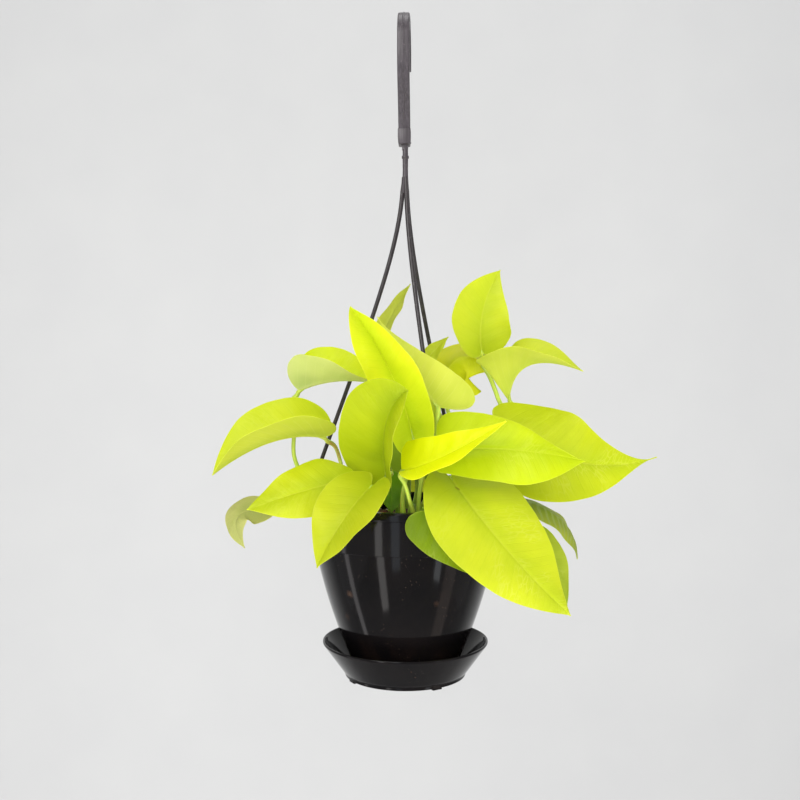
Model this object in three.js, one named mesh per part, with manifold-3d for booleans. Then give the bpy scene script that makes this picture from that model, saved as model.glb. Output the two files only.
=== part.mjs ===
// Neon pothos in a 15 cm hanging pot: one-piece moulded hanger, gloss pot, snap-on saucer, potting mix,
// three vine stems, and one blade and one petiole for each leaf.
// Millimetres, +Z up. The origin is the seat of the hook: the centre of the bar that the hook hangs on.
// +X runs along that bar. -Y is the front of the plant, the side that most of the leaves face.
import * as THREE from "three";
import { mergeVertices } from "three/addons/utils/BufferGeometryUtils.js";
import Module from "manifold-3d";

const wasm = await Module();
wasm.setup();

// ---------------------------------------------------------------- driving dimensions
const GAP = 0.35; // clearance between neighbouring pieces
const ROUND = 40; // facets round the pot and the saucer

const HOOK_INNER_R = 17;
const STRAP_WIDTH = 9;
const STRAP_DEPTH = 8.5;
const STRAP_GROOVE = 1.1; // depth of the hollow in each flank of the strap
const STRAP_RIDGE = 0.7; // the raised parting line down the middle of its outer face
const STRAP_OFFSET = -0.7; // along X: the strap stands a little to one side of the neck
const HOOK_TWIST = -2.5; // degrees about +Z, as the hanger sits on its bar
const HOOK_TIP_Z = -8.7;
const STRAP_STRAIGHT_Z = -8; // the front strap is straight down to here, then sweeps back to the axis
const STRAP_END_Z = -62;
const CROWN_TOP_Z = -60.5;
const CROWN_SHOULDER_Z = -67; // the crown's corners are cut back below here
const CROWN_BOTTOM_Z = -72;
const CROWN_WIDTH = 9.6;
const CROWN_DEPTH = 10.4;
const CROWN_FOOT = 0.9; // width of the crown's foot, as a share of the crown
const NECK_R = 2.1;
const NECK_RING_R = 2.6;
const NECK_RING_Z = -80.9;
const NECK_END_Z = -106;
const NECK_END_R = 3.2; // the neck flares here to the width of the three strands

const STRAND_R = 1.55;
const STRAND_START_R = 2.1; // distance of each strand from the axis where it leaves the neck
// Degrees from +X, counter-clockwise seen from above.
const STRAND_AZIMUTHS = { back: 53, left: 173, front: 291 };
const STRAND_BOW = [[5.5, -155], [30, -215]]; // [distance from the axis, height] that each strand bends by
const STRAND_END_Z = -331.5;
const EAR_RADIUS = 72.5; // distance of the hanging ears from the axis
const CLIP_SHANK_R = 1.7; // the part that goes through the ear
const CLIP_KNUCKLE_R = 2.9; // rests on the ear
const CLIP_BARB_R = 2.6; // holds under the ear
const CLIP_BARB_Z = -345.5;
const CLIP_TIP_Z = -352;
const CLIP_TOP_Z = -330.2;

const RIM_Z = -339;
const LIP_R = 73.5;
const LIP_HEIGHT = 6;
const BAND_TOP_R = 69.5;
const BAND_BOTTOM_R = 68.2;
const BAND_HEIGHT = 30.5; // rim to the mould line
const BODY_TOP_R = 67.7;
const BODY_TAPER = 0.19; // radius lost for each millimetre below the mould line
const BODY_BELLY = 0.0015; // and for its square, which rounds the body
const POT_HEIGHT = 122;
const BODY_HEIGHT = POT_HEIGHT - BAND_HEIGHT;
const MOULD_LINE_Z = RIM_Z - BAND_HEIGHT;
const POT_BOTTOM_Z = RIM_Z - POT_HEIGHT;
const WALL = 1.8;
const FLOOR = 2;
const POT_FOOT_R = 31;
const POT_FOOT_HEIGHT = 2.1;
const EAR_R = 4.4;
const EAR_HOLE_R = 2.1;
const DRAIN_HOLE_R = 4;
const DRAIN_CIRCLE_R = 20;
const DRAIN_HOLES = 6;

const SAUCER_RIM_R = 61.7;
const SAUCER_RIM_Z = -441.6;
const SAUCER_FOOT_R = 45.3;
const SAUCER_FLOOR_TOP_Z = -463.4;
const SAUCER_FLOOR = 2;
const SAUCER_RING_Z = -467;
const SAUCER_BOTTOM_Z = -468;
const SAUCER_WALL = 1.3;
const SAUCER_FEET = 4;
const SAUCER_FOOT_PAD = [2.6, 7.5]; // across and round the ring
const SAUCER_FIRST_FOOT = -60; // degrees from +X

const MIX_TOP_Z = -353;
const MIX_CROWN = 3; // the mix stands this much higher in the middle

const BLADE_THICKNESS = 0.9;
const PETIOLE_R = 1.3;
const STEM_R = 2.8;

// ---------------------------------------------------------------- materials
const finish = (color, roughness) => new THREE.MeshStandardMaterial({ color, roughness, metalness: 0 });
const POT_PLASTIC = finish(0x171414, 0.15);
const HANGER_PLASTIC = finish(0x4a4444, 0.4);
const POTTING_MIX = finish(0x3b2a1c, 0.95);
const STEM_GREEN = finish(0xa9b84a, 0.5);
const PETIOLE_GREEN = finish(0xc8d850, 0.45);
const NEON = finish(0xd4e81e, 0.45);
const LIME = finish(0xb4cd28, 0.45);
const OLIVE = finish(0x8aa52a, 0.5);
const SHADE = finish(0x4f7d20, 0.5);

// ---------------------------------------------------------------- geometry helpers
const radians = THREE.MathUtils.degToRad;
const vector = ([x, y, z]) => new THREE.Vector3(x, y, z);

// A point at a distance from the axis, in a direction given in degrees.
const polar = (r, degrees, z) =>
  new THREE.Vector3(r * Math.cos(radians(degrees)), r * Math.sin(radians(degrees)), z);

// A closed three.js geometry as a manifold-3d solid.
function solid(geometry) {
  const bare = geometry.clone();
  for (const name of Object.keys(bare.attributes)) {
    if (name !== "position") bare.deleteAttribute(name);
  }
  const merged = mergeVertices(bare, 1e-3);
  const { array } = merged.attributes.position;
  return new wasm.Manifold(
    new wasm.Mesh({ numProp: 3, vertProperties: array, triVerts: new Uint32Array(merged.index.array) }),
  );
}

// A manifold-3d solid as a three.js geometry.
function geometryOf(manifold) {
  const mesh = manifold.getMesh();
  const geometry = new THREE.BufferGeometry();
  geometry.setAttribute("position", new THREE.BufferAttribute(mesh.vertProperties, 3));
  geometry.setIndex(new THREE.BufferAttribute(mesh.triVerts, 1));
  geometry.computeVertexNormals();
  return geometry;
}

// A profile of [radius, z] points, listed from the foot up the outside, turned about the Z axis.
function turned(profile, facets = ROUND) {
  const points = profile.map(([r, z]) => new THREE.Vector2(r, z));
  return new THREE.LatheGeometry(points, facets).rotateX(Math.PI / 2);
}

// A round bar along a curve, with flat ends.
function bar(curve, radius, steps, sides = 8) {
  const section = new THREE.Shape();
  for (let i = 0; i < sides; i++) {
    const angle = (2 * Math.PI * i) / sides;
    section[i ? "lineTo" : "moveTo"](radius * Math.cos(angle), radius * Math.sin(angle));
  }
  section.closePath();
  return new THREE.ExtrudeGeometry(section, { steps, extrudePath: curve, bevelEnabled: false });
}

function uprightCylinder(r, zLow, zHigh, centre, sides = 20) {
  const height = zHigh - zLow;
  return new THREE.CylinderGeometry(r, r, height, sides)
    .rotateX(Math.PI / 2)
    .translate(centre.x, centre.y, zLow + height / 2);
}

// ---------------------------------------------------------------- hanger
// The strap's section: a flat bar with a hollow in each flank and a raised line down its outer face.
function strapSection() {
  const w = STRAP_WIDTH / 2;
  const d = STRAP_DEPTH / 2;
  const flange = d - 2.2;
  const outline = [
    [-d, -w],
    [-flange, -w],
    [-flange + 0.6, -w + STRAP_GROOVE],
    [flange - 0.6, -w + STRAP_GROOVE],
    [flange, -w],
    [d, -w + 0.8],
    [d, -0.8],
    [d + STRAP_RIDGE, -0.5],
    [d + STRAP_RIDGE, 0.5],
    [d, 0.8],
    [d, w - 0.8],
    [flange, w],
    [flange - 0.6, w - STRAP_GROOVE],
    [-flange + 0.6, w - STRAP_GROOVE],
    [-flange, w],
    [-d, w],
  ];
  return new THREE.Shape(outline.map(([x, y]) => new THREE.Vector2(x, y)));
}

// Centre line of the strap in the plane x = 0: back tip, over the bar, down the front, back to the axis.
function strapPath() {
  const r = HOOK_INNER_R + STRAP_DEPTH / 2;
  const path = new THREE.CurvePath();
  const over = new THREE.CatmullRomCurve3(
    Array.from({ length: 13 }, (_, i) => {
      const angle = (Math.PI * i) / 12;
      return new THREE.Vector3(0, r * Math.cos(angle), r * Math.sin(angle));
    }),
  );
  const tip = new THREE.Vector3(0, r, HOOK_TIP_Z);
  const bend = new THREE.Vector3(0, -r, STRAP_STRAIGHT_Z);
  const sweep = new THREE.CubicBezierCurve3(
    bend,
    new THREE.Vector3(0, -r, STRAP_STRAIGHT_Z - 24),
    new THREE.Vector3(0, -7, STRAP_END_Z + 26),
    new THREE.Vector3(0, 0, STRAP_END_Z),
  );
  path.add(new THREE.LineCurve3(tip, new THREE.Vector3(0, r, 0)));
  path.add(over);
  path.add(new THREE.LineCurve3(new THREE.Vector3(0, -r, 0), bend));
  path.add(sweep);
  return path;
}

// The strap swept along its path, one ring of the section at each step. The path stays in the plane
// x = 0, so the section's first axis is the path's outward normal and its second is +X.
function strap(steps) {
  const path = strapPath();
  const section = strapSection().getPoints();
  const count = section.length;
  const positions = [];
  const index = [];
  for (let i = 0; i <= steps; i++) {
    const t = i / steps;
    const centre = path.getPointAt(t);
    const along = path.getTangentAt(t);
    const taper = Math.min(1, 0.55 + 3.2 * t); // the back leg thins towards its tip
    for (const p of section) {
      const out = p.x * taper;
      positions.push(p.y, centre.y + along.z * out, centre.z - along.y * out);
    }
  }
  for (let i = 0; i < steps; i++) {
    for (let j = 0; j < count; j++) {
      const a = i * count + j;
      const b = i * count + ((j + 1) % count);
      index.push(a, a + count, b, b, a + count, b + count);
    }
  }
  const caps = THREE.ShapeUtils.triangulateShape(section, []);
  for (const [a, b, c] of caps) {
    index.push(a, b, c);
    index.push(steps * count + a, steps * count + c, steps * count + b);
  }
  const geometry = new THREE.BufferGeometry();
  geometry.setAttribute("position", new THREE.Float32BufferAttribute(positions, 3));
  geometry.setIndex(index);
  return geometry;
}

// The block under the strap, with its lower corners cut back.
function crown() {
  const half = CROWN_WIDTH / 2;
  const outline = new THREE.Shape([
    new THREE.Vector2(-half, CROWN_TOP_Z),
    new THREE.Vector2(-half, CROWN_SHOULDER_Z),
    new THREE.Vector2(-half * CROWN_FOOT, CROWN_BOTTOM_Z),
    new THREE.Vector2(half * CROWN_FOOT, CROWN_BOTTOM_Z),
    new THREE.Vector2(half, CROWN_SHOULDER_Z),
    new THREE.Vector2(half, CROWN_TOP_Z),
  ]);
  return new THREE.ExtrudeGeometry(outline, { depth: CROWN_DEPTH, bevelEnabled: false })
    .translate(0, 0, -CROWN_DEPTH / 2)
    .rotateX(Math.PI / 2)
    .translate(STRAP_OFFSET, 0, 0);
}

// The round neck under the crown, with its ring, flaring to where the three strands start.
function neck() {
  return turned(
    [
      [0, NECK_END_Z],
      [NECK_END_R, NECK_END_Z],
      [NECK_R - 0.1, NECK_RING_Z - 12],
      [NECK_R, NECK_RING_Z - 1.4],
      [NECK_RING_R, NECK_RING_Z - 0.7],
      [NECK_RING_R, NECK_RING_Z + 0.7],
      [NECK_R, NECK_RING_Z + 1.4],
      [NECK_R, CROWN_BOTTOM_Z - 2],
      [NECK_R + 1, CROWN_BOTTOM_Z + 1],
      [0, CROWN_BOTTOM_Z + 1],
    ],
    16,
  );
}

function hangerHook() {
  const hook = strap(46).translate(STRAP_OFFSET, 0, 0);
  return geometryOf(solid(hook).add(solid(crown())).add(solid(neck())));
}

// One strand: it leaves the neck beside the axis, bows out to the rim, and ends in a barbed clip.
function strandCurve(azimuth) {
  return new THREE.CubicBezierCurve3(
    polar(STRAND_START_R, azimuth, NECK_END_Z - GAP),
    ...STRAND_BOW.map(([r, z]) => polar(r, azimuth, z)),
    polar(EAR_RADIUS, azimuth, STRAND_END_Z),
  );
}

function strandClip() {
  return turned(
    [
      [0, CLIP_TIP_Z],
      [0.9, CLIP_TIP_Z],
      [CLIP_BARB_R, CLIP_BARB_Z - 0.9],
      [CLIP_BARB_R, CLIP_BARB_Z],
      [CLIP_SHANK_R, RIM_Z - LIP_HEIGHT - 0.4],
      [CLIP_SHANK_R, RIM_Z],
      [CLIP_KNUCKLE_R, RIM_Z + GAP],
      [CLIP_KNUCKLE_R, CLIP_TOP_Z - 4.4],
      [CLIP_KNUCKLE_R - 0.6, CLIP_TOP_Z - 1.4],
      [1.3, CLIP_TOP_Z],
      [0, CLIP_TOP_Z],
    ],
    12,
  );
}

function hangerStrand(azimuth) {
  const ear = polar(EAR_RADIUS, azimuth, 0);
  const clip = strandClip().translate(ear.x, ear.y, 0);
  return geometryOf(solid(bar(strandCurve(azimuth), STRAND_R, 30)).add(solid(clip)));
}

// ---------------------------------------------------------------- pot, saucer and potting mix
// Radius of the tapering body at a distance below the mould line.
const bodyRadius = (below) => BODY_TOP_R - BODY_TAPER * below - BODY_BELLY * below * below;

// Points down the tapering body, from one height below the mould line to another, set in by an offset.
function bodyPoints(from, to, count, inset) {
  return Array.from({ length: count + 1 }, (_, i) => {
    const below = from + ((to - from) * i) / count;
    return [bodyRadius(below) - inset, MOULD_LINE_Z - below];
  });
}

function pot() {
  const floorZ = POT_BOTTOM_Z + FLOOR;
  const outside = bodyPoints(BODY_HEIGHT, 0, 10, 0);
  const inside = bodyPoints(0, BODY_HEIGHT - FLOOR, 10, WALL);
  const shell = turned([
    [0, POT_BOTTOM_Z],
    [POT_FOOT_R - WALL, POT_BOTTOM_Z],
    [POT_FOOT_R - WALL, POT_BOTTOM_Z - POT_FOOT_HEIGHT],
    [POT_FOOT_R, POT_BOTTOM_Z - POT_FOOT_HEIGHT],
    [POT_FOOT_R, POT_BOTTOM_Z],
    ...outside,
    [BAND_BOTTOM_R, MOULD_LINE_Z + 0.3],
    [BAND_TOP_R, RIM_Z - WALL],
    [LIP_R - 1.6, RIM_Z - WALL],
    [LIP_R - 1.6, RIM_Z - LIP_HEIGHT],
    [LIP_R - 0.4, RIM_Z - LIP_HEIGHT],
    [LIP_R, RIM_Z - LIP_HEIGHT + 1],
    [LIP_R, RIM_Z - 1.4],
    [LIP_R - 1.2, RIM_Z],
    [BAND_TOP_R - WALL + 0.6, RIM_Z],
    [BAND_TOP_R - WALL, RIM_Z - 0.8],
    ...inside,
    [0, floorZ],
  ]);
  let made = solid(shell);
  for (const azimuth of Object.values(STRAND_AZIMUTHS)) {
    const centre = polar(EAR_RADIUS, azimuth, 0);
    made = made.add(solid(uprightCylinder(EAR_R, RIM_Z - LIP_HEIGHT, RIM_Z - 0.01, centre)));
    made = made.subtract(solid(uprightCylinder(EAR_HOLE_R, RIM_Z - 9, RIM_Z + 1, centre, 16)));
  }
  made = made.subtract(solid(mixRoom()));
  for (let i = 0; i < DRAIN_HOLES; i++) {
    const centre = polar(DRAIN_CIRCLE_R, (360 * i) / DRAIN_HOLES, 0);
    const hole = uprightCylinder(DRAIN_HOLE_R, POT_BOTTOM_Z - 1, floorZ + 1, centre, 12);
    made = made.subtract(solid(hole));
  }
  return geometryOf(made);
}

// The inside of the pot, which keeps the ears from reaching into it.
function mixRoom() {
  return turned([
    [0, RIM_Z - 20],
    [BAND_TOP_R - WALL - 0.9, RIM_Z - 20],
    [BAND_TOP_R - WALL, RIM_Z - 0.8],
    [BAND_TOP_R - WALL + 0.6, RIM_Z + 0.2],
    [0, RIM_Z + 0.2],
  ]);
}

function saucer() {
  const floorLowZ = SAUCER_FLOOR_TOP_Z - SAUCER_FLOOR;
  const collarR = POT_FOOT_R + GAP;
  const collarZ = POT_BOTTOM_Z - GAP;
  const dish = turned([
    [0, floorLowZ],
    [SAUCER_FOOT_R - 2.8, floorLowZ],
    [SAUCER_FOOT_R - 2.8, SAUCER_RING_Z],
    [SAUCER_FOOT_R - 0.4, SAUCER_RING_Z],
    [SAUCER_FOOT_R, SAUCER_RING_Z + 0.4],
    [SAUCER_FOOT_R, floorLowZ + 0.8],
    [SAUCER_FOOT_R + 1.4, SAUCER_FLOOR_TOP_Z],
    [SAUCER_RIM_R - 1, SAUCER_RIM_Z - 2.4],
    [SAUCER_RIM_R, SAUCER_RIM_Z - 1],
    [SAUCER_RIM_R - 0.3, SAUCER_RIM_Z],
    [SAUCER_RIM_R - SAUCER_WALL, SAUCER_RIM_Z],
    [SAUCER_RIM_R - SAUCER_WALL - 1.2, SAUCER_RIM_Z - 2],
    [SAUCER_FOOT_R + 0.4, SAUCER_FLOOR_TOP_Z],
    [collarR + 1.7, SAUCER_FLOOR_TOP_Z],
    [collarR + 1.7, collarZ],
    [collarR, collarZ],
    [collarR, SAUCER_FLOOR_TOP_Z],
    [0, SAUCER_FLOOR_TOP_Z],
  ]);
  let made = solid(dish);
  for (let i = 0; i < SAUCER_FEET; i++) {
    const size = SAUCER_RING_Z - SAUCER_BOTTOM_Z + 0.5;
    const foot = new THREE.BoxGeometry(...SAUCER_FOOT_PAD, size)
      .translate(SAUCER_FOOT_R - 1.5, 0, SAUCER_BOTTOM_Z + size / 2)
      .rotateZ(radians(SAUCER_FIRST_FOOT + (360 * i) / SAUCER_FEET));
    made = made.add(solid(foot));
  }
  return geometryOf(made);
}

function pottingMix() {
  const inset = WALL + GAP;
  const sides = bodyPoints(BODY_HEIGHT - FLOOR - GAP, 0, 8, inset);
  return turned(
    [
      [0, POT_BOTTOM_Z + FLOOR + GAP],
      ...sides,
      [BAND_BOTTOM_R - inset, MIX_TOP_Z - 2],
      [BAND_BOTTOM_R - inset - 2, MIX_TOP_Z],
      [40, MIX_TOP_Z + MIX_CROWN * 0.6],
      [0, MIX_TOP_Z + MIX_CROWN],
    ],
    28,
  );
}

// ---------------------------------------------------------------- leaves
// A blade is a heart-shaped sheet on a curved midrib. rib lists the midrib's base, middle and tip; face is
// the way the upper side looks, at the base and, where a second one is given, at the tip. fold lifts both
// halves about the midrib, in degrees at the base and at the tip, and curl bends them further towards the
// margin. petiole is the stalk's route up from the stem; it ends just under the blade's base.
const LEAVES = [
  {
    name: "front_large", colour: NEON, width: 69, fold: [8, 4], curl: -14, heel: [0.7, 0.3], lobe: 0.1,
    rib: [[30, -68, -315], [64, -104, -358], [102, -116, -397]], face: [[0.1, -0.8, 0.6]],
    petiole: [[14, -56, -344], [17, -66, -333], [22, -68, -323]], arch: 0,
  },
  {
    name: "front_low", colour: LIME, width: 48, fold: [4, 4], curl: -10,
    heel: [0.58, 0.85], widest: [0.3, 0.16], tip: [1.15, 1.9], lobe: 0.08,
    rib: [[16, -76, -336], [41, -86, -360], [71, -94, -391]], face: [[-0.1, -0.85, 0.5]],
    petiole: [[11, -58, -345], [12, -67, -337]], arch: 2,
  },
  {
    name: "front_bright", colour: NEON, width: [40, 31], fold: [16, 16], curl: 4,
    heel: [1, 0.15], widest: [0.04, 0.3], lobe: 0.02,
    rib: [[-3, -88, -309], [25, -104, -298], [62, -116, -276]], face: [[-0.4, -0.7, 0.7], [0, -0.7, 0.7]],
    petiole: [[6, -60, -344], [3, -66, -333], [-1, -76, -319]], arch: 3,
  },
  {
    name: "front_left", colour: LIME, width: 61, fold: [36, 32], curl: 0,
    heel: [0.5, 0.15], widest: [0.3, 0.5], side: 3.2, tip: 0.9,
    rib: [[-14, -54, -314], [-13, -88, -277], [1, -106, -257]], face: [[-0.45, -0.85, 0.2]],
    petiole: [[-22, -30, -344], [-27, -42, -328]], arch: 3,
  },
  {
    name: "front_down", colour: LIME, width: 48, fold: [18, 18], curl: 0, heel: [0.35, 0.58],
    rib: [[-23, -78, -320], [-41, -97, -341], [-57, -102, -370]], face: [[-0.38, -0.8, 0.55]],
    petiole: [[-29, -34, -344], [-29, -54, -330]],
  },
  {
    name: "left_low", colour: NEON, width: 44, fold: [6, 6], curl: -14, heel: [0.58, 0.35], lobe: 0.06,
    rib: [[-38, -65, -316], [-72, -73, -325], [-106, -76, -336]], face: [[-0.1, -0.8, 0.55]],
    petiole: [[-36, -36, -344], [-35, -50, -328]],
  },
  {
    name: "left_back", colour: OLIVE, width: 27, fold: [6, 6], curl: -10, heel: 0.3,
    rib: [[-101, -26, -342], [-120, -34, -347], [-114, -38, -368]], face: [[-0.6, -0.7, 0.4]],
    petiole: [[-38, -26, -343], [-66, -22, -335]],
  },
  {
    name: "left_arch", colour: NEON, width: 60, fold: [46, 40], curl: 4, lobe: 0.05, side: 3,
    rib: [[-57, -40, -289], [-94, -50, -292], [-134, -52, -315]], face: [[-0.1, -0.35, 0.93]],
    petiole: [[-38, -31, -343], [-44, -38, -315]],
  },
  {
    name: "left_high", colour: LIME, width: 56, fold: [74, 28], curl: 0, lobe: 0.03,
    rib: [[-78, -18, -256], [-49, -30, -249], [-17, -36, -252]], face: [[0, -0.15, 1], [0, -0.45, 0.9]],
    petiole: [[-38, -20, -343], [-66, -17, -330], [-81, -16, -306], [-81, -17, -280]],
  },
  {
    name: "top_left", colour: NEON, width: 46, fold: [40, 44], curl: 0, side: [3.6, 2.1], tip: [0.8, 1.15],
    rib: [[4, -66, -285], [-12, -74, -241], [-37, -78, -201]], face: [[0, -1, 0.1]],
    petiole: [[-2, -51, -344], [-2, -53, -328], [3, -58, -305]],
  },
  {
    name: "top_pale", colour: LIME, width: 52, fold: [6, 4], curl: 0,
    heel: [1, 0.4], widest: [0.06, 0.2], lobe: 0.2, tip: 1.7,
    rib: [[22, -60, -268], [4, -50, -243], [-20, -37, -204]], face: [[0.1, 0.9, 0.3]],
    petiole: [[15, -48, -344], [17, -58, -318], [20.5, -62.5, -292]], arch: 0,
  },
  {
    name: "top_thin", colour: OLIVE, width: 22, fold: [10, 10], curl: 0,
    rib: [[-24, 18, -224], [-10, 27, -196], [4, 30, -172]], face: [[-0.7, -0.6, 0.3]],
    petiole: [[-6, 27, -348], [-18, 24, -286]],
  },
  {
    name: "top_right", colour: NEON, width: 45, fold: [10, 14], curl: 6,
    heel: [0.45, 0.62], widest: [0.44, 0.26], lobe: 0.02,
    rib: [[57, -8, -229], [57, -12, -198], [70, -10, -167]], face: [[0, -0.95, 0.3]],
    petiole: [[42, -4, -343], [75, -1, -280], [69, -2, -261], [63, -4, -246]],
  },
  {
    name: "right_trumpet", colour: LIME, width: [50, 72], fold: [62, 17], curl: 0,
    heel: [0.15, 1], widest: [0.5, 0.04], side: [2.1, 2.4], lobe: -0.25,
    rib: [[77, 0, -263], [91, -12, -237], [129, -22, -242]], face: [[-0.8, -0.05, 0.6], [0, -0.2, 1]],
    petiole: [[48, -4, -343], [74, 4, -305], [80, 1, -280]],
  },
  {
    name: "right_inner", colour: OLIVE, width: 62, fold: [-33, -33], curl: 0, heel: [0.5, 1], lobe: 0,
    rib: [[30, 8, -243], [46, 6, -230], [66, 2, -242]], face: [[0, -0.8, 0.6]],
    petiole: [[34, -2, -343], [37, 10, -290]],
  },
  {
    name: "top_small", colour: OLIVE, width: 15, fold: [8, 8], curl: 0,
    rib: [[11, -6, -240], [20, -6, -228], [32, -6, -216]], face: [[-0.3, -0.8, 0.4]],
    petiole: [[2, 33, -348], [4, 28, -296], [6, 16, -256]], arch: 3,
  },
  {
    name: "right_mid", colour: NEON, width: [54, 46], fold: [2, 2], curl: -8,
    heel: [0.95, 0.66], widest: [0.12, 0.55], tip: [1.8, 1.15], lobe: 0.04,
    rib: [[22, -77, -296], [69, -96, -295], [114, -102, -302]], face: [[0.05, -0.92, 0.4]],
    petiole: [[9, -54, -344], [9, -58, -330], [12, -60, -314]], arch: 0,
  },
  {
    name: "right_far", colour: NEON, width: 74, fold: [8, 6], curl: -8, heel: 0.6, tip: 2.5,
    rib: [[69, -22, -287], [123, -46, -307], [176, -44, -303]], face: [[0.1, -0.9, 0.42]],
    petiole: [[44, -18, -343], [54, -16, -305]],
  },
  {
    name: "right_drop", colour: OLIVE, width: 38, fold: [-10, -10], curl: 0,
    rib: [[83, -30, -334], [111, -38, -349], [122, -36, -376]], face: [[0.7, -0.3, 0.6]],
    petiole: [[50, -14, -343], [64, -20, -329]],
  },
  {
    name: "right_low", colour: LIME, width: 30, fold: [8, 8], curl: 0,
    rib: [[80, -62, -354], [96, -72, -372], [108, -72, -401]], face: [[0.3, -0.8, 0.5]],
    petiole: [[48, -22, -343], [66, -44, -332]],
  },
  {
    name: "inner_dark", colour: SHADE, width: 21, fold: [8, 8], curl: 0, lobe: 0.08,
    rib: [[-12, -36, -316], [-10, -40, -329], [-10, -38, -343]], face: [[0.3, -0.9, 0.2]],
    petiole: [[-5, -24, -345], [-8, -25, -325]],
  },
  {
    name: "inner_back", colour: SHADE, width: 42, fold: [10, 10], curl: 0,
    rib: [[8, 12, -316], [4, 8, -288], [-3, 14, -263]], face: [[0, -1, 0.15]],
    petiole: [[6, 19, -348], [9, 19, -331]], arch: 3,
  },
  {
    name: "back_left", colour: LIME, width: 44, fold: [8, 8], curl: -8,
    rib: [[-30, 22, -324], [-50, 48, -326], [-62, 72, -342]], face: [[-0.3, 0.6, 0.75]],
    petiole: [[-11, 22, -348], [-18, 18, -334]],
  },
  {
    name: "back_centre", colour: LIME, width: 50, fold: [8, 6], curl: -8,
    rib: [[0, 62, -312], [4, 88, -330], [8, 96, -362]], face: [[0, 0.8, 0.6]],
    petiole: [[-2, 40, -348], [0, 46, -320]],
  },
  {
    name: "back_right", colour: LIME, width: 40, fold: [8, 6], curl: -8,
    rib: [[54, 32, -296], [70, 48, -288], [88, 66, -300]], face: [[0.3, 0.6, 0.8]],
    petiole: [[12, 27, -348], [30, 26, -316]],
  },
];

// What a leaf has where its row above gives nothing else. lobe is how far the two lobes of the heart
// reach behind the base, as a share of the length. heel is the half-width at the base, as a share of the
// widest, and widest is where along the midrib that is. side says how full the blade stays past it, and
// tip how sharply it runs in at the end. Each of these four, and the width, is one number, or a pair for
// the two sides of the midrib. arch is how far the petiole runs in line with the blade before it meets it.
const USUAL = { lobe: 0.15, heel: 0.58, widest: 0.3, side: 2.1, tip: 1.15, arch: 7 };
const LEAST_HALF_WIDTH = 0.4;
const ROWS = [0, 0.08, 0.18, 0.32, 0.5, 0.68, 0.85, 1];
const COLUMNS = [-1, -0.55, 0, 0.55, 1];

// Half-width at a place along the midrib, on the side of it that v says.
function halfWidth(leaf, s, v) {
  const [width, heel, widest, side, tip] = ["width", "heel", "widest", "side", "tip"].map((key) =>
    Array.isArray(leaf[key]) ? leaf[key][v > 0 ? 1 : 0] : leaf[key],
  );
  const past = (s - widest) / (1 - widest);
  const rising = heel + (1 - heel) * Math.sin((Math.PI / 2) * (s / widest));
  const share = past < 0 ? rising : (1 - past ** side) ** tip;
  return Math.max((width / 2) * share, LEAST_HALF_WIDTH);
}

function midrib(leaf) {
  const [base, middle, tip] = leaf.rib.map(vector);
  const control = middle.clone().multiplyScalar(2).sub(base.clone().add(tip).multiplyScalar(0.5));
  return new THREE.QuadraticBezierCurve3(base, control, tip);
}

// The blade's own axes at a point of the midrib: along it, across it, and up out of its upper side.
function bladeAxes(leaf, s) {
  const clamped = THREE.MathUtils.clamp(s, 0, 1);
  const along = midrib(leaf).getTangent(clamped);
  const first = vector(leaf.face[0]);
  const last = vector(leaf.face[leaf.face.length - 1]);
  const facing = first.lerp(last, clamped);
  const across = along.clone().cross(facing).normalize();
  const up = across.clone().cross(along);
  return { along, across, up };
}

// A point of the blade: s runs from base to tip, v from margin to margin, lift is the height above it.
function bladePoint(leaf, s, v, lift) {
  const rib = midrib(leaf);
  const length = rib.getLength();
  const side = Math.abs(v);
  const share = s - leaf.lobe * (1 - s) ** 3 * Math.sin((Math.PI / 2) * side);
  const { along, across, up } = bladeAxes(leaf, share);
  const point = rib.getPoint(Math.max(share, 0));
  if (share < 0) point.addScaledVector(along, share * length);
  const fold = radians(THREE.MathUtils.lerp(leaf.fold[0], leaf.fold[1], s));
  const bend = radians(leaf.curl) * side;
  const reach = halfWidth(leaf, s, v) * side;
  point.addScaledVector(across, Math.sign(v) * reach * Math.cos(fold + bend / 2));
  point.addScaledVector(up, reach * Math.sin(fold + bend / 2));
  const slope = side ? fold + bend : 0;
  point.addScaledVector(up, lift * Math.cos(slope));
  point.addScaledVector(across, -Math.sign(v) * lift * Math.sin(slope));
  return point;
}

// The blade as a closed sheet: an upper and a lower grid, stitched round the edge.
function blade(leaf) {
  const positions = [];
  for (const lift of [BLADE_THICKNESS / 2, -BLADE_THICKNESS / 2]) {
    for (const s of ROWS) {
      for (const v of COLUMNS) positions.push(...bladePoint(leaf, s, v, lift));
    }
  }
  const rows = ROWS.length;
  const columns = COLUMNS.length;
  const layer = rows * columns;
  const at = (i, j) => i * columns + j;
  const index = [];
  const quad = (a, b, c, d) => index.push(a, b, c, a, c, d);
  for (let i = 0; i + 1 < rows; i++) {
    for (let j = 0; j + 1 < columns; j++) {
      quad(at(i, j), at(i, j + 1), at(i + 1, j + 1), at(i + 1, j));
      quad(layer + at(i, j), layer + at(i + 1, j), layer + at(i + 1, j + 1), layer + at(i, j + 1));
    }
  }
  const wall = (a, b) => quad(a, layer + a, layer + b, b);
  for (let j = 0; j + 1 < columns; j++) {
    wall(at(0, j), at(0, j + 1));
    wall(at(rows - 1, j + 1), at(rows - 1, j));
  }
  for (let i = 0; i + 1 < rows; i++) {
    wall(at(i + 1, 0), at(i, 0));
    wall(at(i, columns - 1), at(i + 1, columns - 1));
  }
  const geometry = new THREE.BufferGeometry();
  geometry.setAttribute("position", new THREE.Float32BufferAttribute(positions, 3));
  geometry.setIndex(index);
  return geometry;
}

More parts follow.
